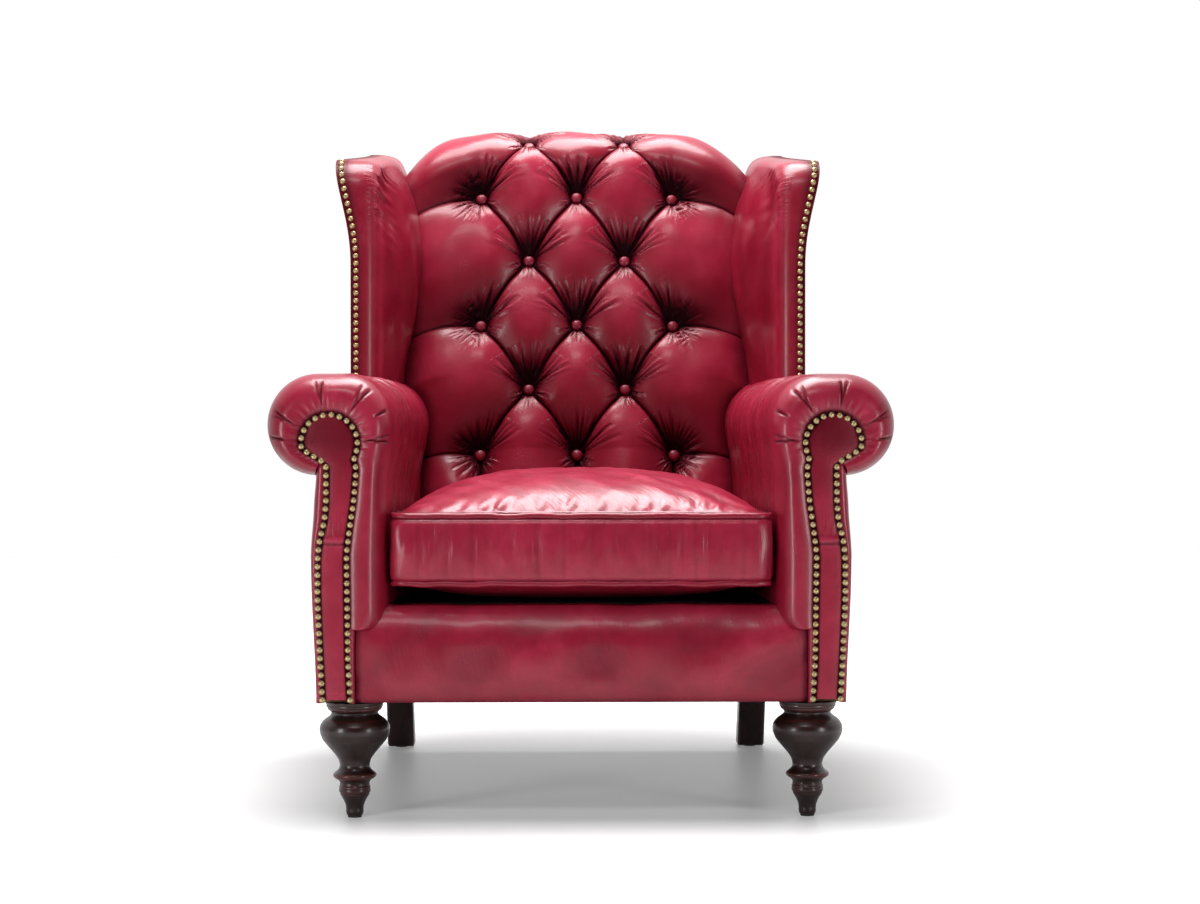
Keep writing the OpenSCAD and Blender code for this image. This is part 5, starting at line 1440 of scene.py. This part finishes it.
def fit_cushion(shape, cushion, mesh):
    """Draws the swollen cushion in along its seams, holds its sides clear of the arms and back, rests
    its underside flat, and adds the creases that sitting leaves."""
    places = point_places(mesh).astype(float)
    line, chord, outward = cushion_outline(shape, cushion, 0.0, 360)
    along, normal, reach = beside_outline(places[:, :2], line, unit(chord), outward)
    z = places[:, 2]
    seam_gap = np.minimum(np.abs(z - cushion.low), np.abs(z - cushion.high))
    between = np.sin(np.pi * limited((z - cushion.low) / (cushion.high - cushion.low)))
    facing_front, facing_rear = ease(-normal[:, 1], 0.4, 0.9), ease(normal[:, 1], 0.4, 0.9)
    bulge = 0.0010 + 0.006 * facing_front - 0.0033 * facing_rear
    edge_wave = ripples(along, z, 121, 0.045, 0.11)
    pulls = ripples(along, 0.25 * z, 123, 0.026, 0.5)
    limit = (bulge * between ** 0.6 - 0.0064 * hump(seam_gap, 0, 0.0050)
             + (0.0009 * edge_wave + 0.0005 * pulls) * between * (1 - facing_rear))
    outer = reach > -0.030
    boxing = outer & (z > cushion.low - 0.004) & (z < cushion.high + 0.004)
    wanted = np.where(boxing & (reach > -0.022), limit, np.minimum(reach, limit))
    shift = np.where(outer, wanted - reach, 0)
    shift = np.where(boxing, shift, np.minimum(shift, 0))
    places[:, :2] += normal * shift[:, None]
    x, y = places[:, 0], places[:, 1] - shape.front_y
    inland = ease(-reach, 0.012, 0.07)
    on_top = ease(z, cushion.high + 0.002, cushion.high + 0.012)
    first, second = 0.8 * x + 0.6 * y, 0.6 * x - 0.8 * y
    slant = ripples(first, second, 131, 0.055, 0.20)
    broad = ripples(x, y, 133, 0.16, 0.16)
    z = z + on_top * (
        inland * (0.0009 * slant + 0.0018 * broad)
        + 0.0016 * hump(-reach, 0.022, 0.018) * ripples(along, reach, 135, 0.030, 0.09))
    z = np.maximum(z, shape.deck_z + 0.0004)
    places[:, 2] = z
    mesh.vertices.foreach_set("co", places.astype(np.float32).ravel())
    # Painted shade beside the seams, in the top's crease valleys and the boxing's pulls, and at the bottom by
    # the deck.
    crease = limited(0.85 * hump(seam_gap, 0, 0.0040) * ease(reach, -0.020, -0.009)
                     + 0.18 * on_top * ease(slant, -0.5, -1.4) * inland
                     + 0.12 * ease(pulls, -0.5, -1.3) * boxing
                     + 0.6 * (1 - ease(z, shape.deck_z + 0.001, shape.deck_z + 0.02)))
    # Painted highlight over the top and its crease crests, and over the boxing.
    wear = limited(on_top * (0.50 + 0.30 * ease(slant, 0.2, 1.2)) + 0.42 * boxing * (1 - crease))
    side_wall = boxing & (seam_gap > 0.003)
    set_layer(mesh, "crease", crease)
    set_layer(mesh, "wear", wear * (1 - crease))
    set_layer(mesh, "fold_strength", np.where(side_wall, 0.16, 0.24 * on_top))
    set_layer(mesh, "fold", np.where(
        side_wall[:, None], stacked(along, z, 15.0), stacked(first, second, 17.0)))
    mesh.shade_smooth()
    mesh.update()


def piping_tube(shape, cushion, level, seed):
    """A row of self piping: a circle carried along the cushion's outline, slightly uneven."""
    line, chord, outward = cushion_outline(shape, cushion, shape.piping_r, 480)
    turn = np.linspace(0, 2 * np.pi, 13)
    far = np.cumsum(np.linalg.norm(chord, axis=1) / 2)[:, None]
    radius = shape.piping_r * (1 + 0.05 * ripples(far, 0, seed, 0.02, 1.0))
    lift = 0.0008 * ripples(far, 0, seed + 1, 0.09, 1.0)
    flat = line[:, None] + outward[:, None] * (radius * np.cos(turn))[..., None]
    points = stacked(flat[..., 0], flat[..., 1], level + lift + radius * np.sin(turn))
    # Painted shade on the piping's inner half.
    inner = ease(-np.cos(turn), -0.35, 0.35)[None]
    # Painted highlight on the piping's top.
    top = 0.5 * ease(np.sin(turn), 0.0, 1.0)
    return patch(np.concatenate([points, points[:1]]), flip=True, crease=inner, wear=top * (1 - inner))


class CHAIR_OT_cushion(bpy.types.Operator):
    """Makes the seat cushion with a cloth simulation, and its piping"""

    bl_idname = "chair.cushion"
    bl_label = "Seat cushion"

    def execute(self, context):
        shape = chair_shape()
        cushion = cushion_values(shape)
        mesh = swell_cushion(cushion_start(shape, cushion), cushion)
        fit_cushion(shape, cushion, mesh)
        add_piece("seat_cushion_leather", mesh, "leather", "cushion_foam", "cushion_top", "cushion_bottom",
                  "cushion_boxing", body="seat_cushion", fill=0.85)
        tubes = [piping_tube(shape, cushion, level, seed)
                 for level, seed in ((cushion.low, 141), (cushion.high, 142))]
        add_piece("cushion_piping_cord", tubes, "leather", "cushion_piping", body="seat_cushion")
        return {"FINISHED"}


# Legs


# Height and radius of a turned leg's profile, as shares of its height and of the bulb's radius.
LEG_PROFILE = (
    (0.00, 0.22), (0.025, 0.25), (0.06, 0.245), (0.10, 0.27), (0.14, 0.33), (0.175, 0.40),
    (0.205, 0.45), (0.245, 0.455), (0.27, 0.43), (0.30, 0.43), (0.325, 0.56), (0.345, 0.62),
    (0.365, 0.62), (0.385, 0.52), (0.41, 0.45), (0.44, 0.42), (0.49, 0.46), (0.54, 0.57),
    (0.60, 0.74), (0.66, 0.90), (0.72, 0.985), (0.76, 1.00), (0.80, 0.97), (0.84, 0.87),
    (0.87, 0.72), (0.89, 0.66), (0.91, 0.66), (0.925, 0.76), (0.95, 0.80), (1.00, 0.84))
LEG_GROOVES = (0.945, 0.972, 0.315, 0.285, 0.262, 0.235, 0.195)


def front_leg(shape, label, side):
    """A turned front leg: a smooth profile of rings, neck and bulb, turned about its axis."""
    depth = 0.057
    up = np.linspace(0, 1, 260)
    radius = smoothed(np.interp(up, *zip(*LEG_PROFILE)), 7)
    for groove in LEG_GROOVES:
        radius = radius - 0.022 * hump(up, groove, 0.0045)
    radius = smoothed(radius, 2) * shape.bulb_r
    height = shape.foot_z + up * (shape.leg_h - shape.foot_z)
    # Lighter on the ridges of the turnings: partly rub-off and partly painted highlight.
    wear = ease(-np.gradient(np.gradient(radius)), 0.00002, 0.00012)
    grid = turned([0, *radius, 0], [shape.foot_z, *height, shape.leg_h], 72,
                  (side * shape.front_leg_x, shape.front_y + depth))
    add_piece(f"turned_leg_{label}", [patch(grid, wear=np.array([0, *wear, 0])[:, None])], "mahogany",
              f"front_leg_{label}")


def rear_leg(shape, label, side):
    """A raked square rear leg: a square with rounded corners carried down a slanted line as it tapers."""
    top_depth = shape.seat_depth + shape.pad_t + 0.0225
    rake, chamfer = 0.066, 0.0015
    middle = side_x(shape, shape.body_outer, top_depth) - 0.052
    turn = np.linspace(0, 2 * np.pi, 73)
    round_x, round_y = [np.sign(wave) * np.abs(wave) ** 0.22 for wave in (np.cos(turn), np.sin(turn))]
    up = np.linspace(0, 1, 40)[:, None]
    drawn_in = chamfer * (1 - rounded(up / 0.02))
    half_x, half_y = 0.0230, 0.021 + 0.0025 * up
    centre = top_depth + rake - 0.0015 - rake * up
    points = stacked(
        side * middle + (half_x - drawn_in) * round_x,
        shape.front_y + centre + (half_y - drawn_in) * round_y,
        shape.foot_z + up * (shape.leg_h - shape.foot_z))
    caps = [np.broadcast_to(ring.mean(0), ring.shape) for ring in (points[0], points[-1])]
    # Lighter on the rounded corners: partly rub-off and partly painted highlight.
    corner = ease(np.abs(round_x * round_y), 0.75, 1.0)[None]
    parts = [patch(points, wear=0.7 * corner), patch(np.stack([caps[0], points[0]])),
             patch(np.stack([points[-1], caps[1]]))]
    add_piece(f"square_leg_{label}", parts, "mahogany", f"rear_leg_{label}")


class CHAIR_OT_legs(bpy.types.Operator):
    """Makes the turned front legs and the square rear legs"""

    bl_idname = "chair.legs"
    bl_label = "Legs"

    def execute(self, context):
        shape = chair_shape()
        for label, side in SIDES.items():
            front_leg(shape, label, side)
            rear_leg(shape, label, side)
        return {"FINISHED"}


class CHAIR_OT_finishes(bpy.types.Operator):
    """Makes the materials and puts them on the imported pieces"""

    bl_idname = "chair.finishes"
    bl_label = "Finishes"

    def execute(self, context):
        build_materials()
        slots = {row["node"]: row["material_slot"] for row in frame["record"]["subparts"]}
        for name, node in frame["nodes"].items():
            node.data.materials.clear()
            node.data.materials.append(finish(slots[name]))
        return {"FINISHED"}


# Studio


def soft_box(name, place, aim, size, power):
    """A rectangular area light that looks from a place at a point."""
    light = bpy.data.lights.new(name, "AREA")
    light.shape = "RECTANGLE"
    light.size, light.size_y = size
    light.energy = power
    lamp = bpy.data.objects.new(name, light)
    bpy.context.scene.collection.objects.link(lamp)
    lamp.location = place
    x, y, z = np.array(aim, float) - np.array(place, float)
    lamp.rotation_euler = (math.atan2(math.hypot(x, y), -z), 0, math.atan2(-x, y))


def seen_directly(tree, mirrored_share):
    """1 for a ray from the camera, and a share for one that a glossy or clear surface passes on."""
    path = tree.nodes.new("ShaderNodeLightPath").outputs
    glossy = Wire(path["Is Glossy Ray"]).most(Wire(path["Is Transmission Ray"])) * mirrored_share
    return Wire(path["Is Camera Ray"]).most(glossy)


def lay_floor():
    """A pale floor that takes soft shadows near the chair and fades to white away from it."""
    half = 6.0
    mesh = bpy.data.meshes.new("floor")
    corners = [(-half, -half, 0), (half, -half, 0), (half, half, 0), (-half, half, 0)]
    mesh.from_pydata(corners, [], [(0, 1, 2, 3)])
    floor = bpy.data.objects.new("floor", mesh)
    bpy.context.scene.collection.objects.link(floor)
    paper = bpy.data.materials.new("white_floor")
    paper.use_nodes = True
    tree = paper.node_tree
    surface = tree.nodes["Principled BSDF"]
    for key, value in {
            "Base Color": (0.84, 0.84, 0.84, 1), "Roughness": 0.42, "Specular IOR Level": 0.25,
            "Emission Color": (1, 1, 1, 1)}.items():
        surface.inputs[key].default_value = value
    spot = add_node(tree, "ShaderNodeTexCoord", output="Object")
    far = add_node(tree, "ShaderNodeVectorMath", {0: spot}, output="Value", operation="LENGTH")
    glow = seen_directly(tree, 0.25) * far.mapped(0.45, 1.15, 0.175, 1.0)
    tree.links.new(glow.socket, surface.inputs["Emission Strength"])
    mesh.materials.append(paper)


def surround():
    """White surroundings: dark ahead of the chair for glossy rays, so that the leather keeps its colour."""
    world = bpy.data.worlds.new("white_surroundings")
    world.use_nodes = True
    bpy.context.scene.world = world
    tree = world.node_tree
    background = tree.nodes["Background"]
    background.inputs["Color"].default_value = (1, 1, 1, 1)
    direction = add_node(tree, "ShaderNodeTexCoord", output="Generated")
    level = add_node(tree, "ShaderNodeSeparateXYZ", {0: direction}, output="Y")
    strength = seen_directly(tree, level.mapped(-0.50, 0.20, 0.04, 1.0)).most(0.045)
    tree.links.new(strength.socket, background.inputs["Strength"])


def place_camera(shape):
    """The camera of the picture. Its lens comes from how many pixels a slope of 1 covers."""
    image_width, pixels_per_slope = 1200, 2363
    eye = bpy.data.cameras.new("camera")
    eye.sensor_width = 36
    eye.lens = eye.sensor_width * pixels_per_slope / image_width
    camera = bpy.data.objects.new("camera", eye)
    bpy.context.scene.collection.objects.link(camera)
    camera.location = (-0.044, shape.front_y - 3.3, 0.559)
    camera.rotation_euler = (math.radians(90 - 0.70), 0, math.radians(-1.20))
    bpy.context.scene.camera = camera


class CHAIR_OT_stage(bpy.types.Operator):
    """Makes the floor, the white surroundings, the soft lights and the camera"""

    bl_idname = "chair.stage"
    bl_label = "Studio"

    def execute(self, context):
        lay_floor()
        surround()
        soft_box("overhead_box", (-0.1, 0.12, 2.4), (0, 0.0, 0.4), (1.8, 1.0), 92)
        soft_box("left_fill_box", (-1.9, -2.1, 0.50), (0, -0.3, 0.35), (0.5, 0.9), 21)
        soft_box("right_fill_box", (1.9, -2.1, 0.50), (0, -0.3, 0.35), (0.5, 0.9), 17)
        soft_box("high_front_box", (-0.25, -2.0, 2.4), (0, 0.1, 0.75), (1.1, 0.5), 14)
        place_camera(chair_shape())
        context.scene.view_settings.view_transform = "Standard"
        return {"FINISHED"}


class CHAIR_PT_panel(bpy.types.Panel):
    """Lists the steps that make the armchair"""

    bl_label = "Wing armchair"
    bl_idname = "CHAIR_PT_panel"
    bl_space_type = "VIEW_3D"
    bl_region_type = "UI"
    bl_category = "Armchair"

    def draw(self, context):
        for step in STEPS:
            self.layout.operator(f"chair.{step}")
        for group in (context.scene.chair_sizes, context.scene.chair_colours):
            for name in group.bl_rna.properties.keys():
                if name not in ("rna_type", "name"):
                    self.layout.prop(group, name)


STEPS = ("finishes", "stage", "back", "arms", "wings", "covers", "nails", "cushion", "legs")
CLASSES = (
    ChairSizes, ChairColours, CHAIR_OT_finishes, CHAIR_OT_stage, CHAIR_OT_back, CHAIR_OT_arms,
    CHAIR_OT_wings, CHAIR_OT_covers, CHAIR_OT_nails, CHAIR_OT_cushion, CHAIR_OT_legs, CHAIR_PT_panel)


def register():
    """Registers the classes and puts the sizes and colours on the scene."""
    for kind in CLASSES:
        bpy.utils.register_class(kind)
    bpy.types.Scene.chair_sizes = bpy.props.PointerProperty(type=ChairSizes)
    bpy.types.Scene.chair_colours = bpy.props.PointerProperty(type=ChairColours)


def unregister():
    """Takes the classes, sizes and colours away again."""
    del bpy.types.Scene.chair_colours
    del bpy.types.Scene.chair_sizes
    for kind in reversed(CLASSES):
        bpy.utils.unregister_class(kind)


def main():
    """Makes the whole chair and its studio."""
    register()
    for step in STEPS:
        getattr(bpy.ops.chair, step)()


if __name__ == "__main__":
    main()
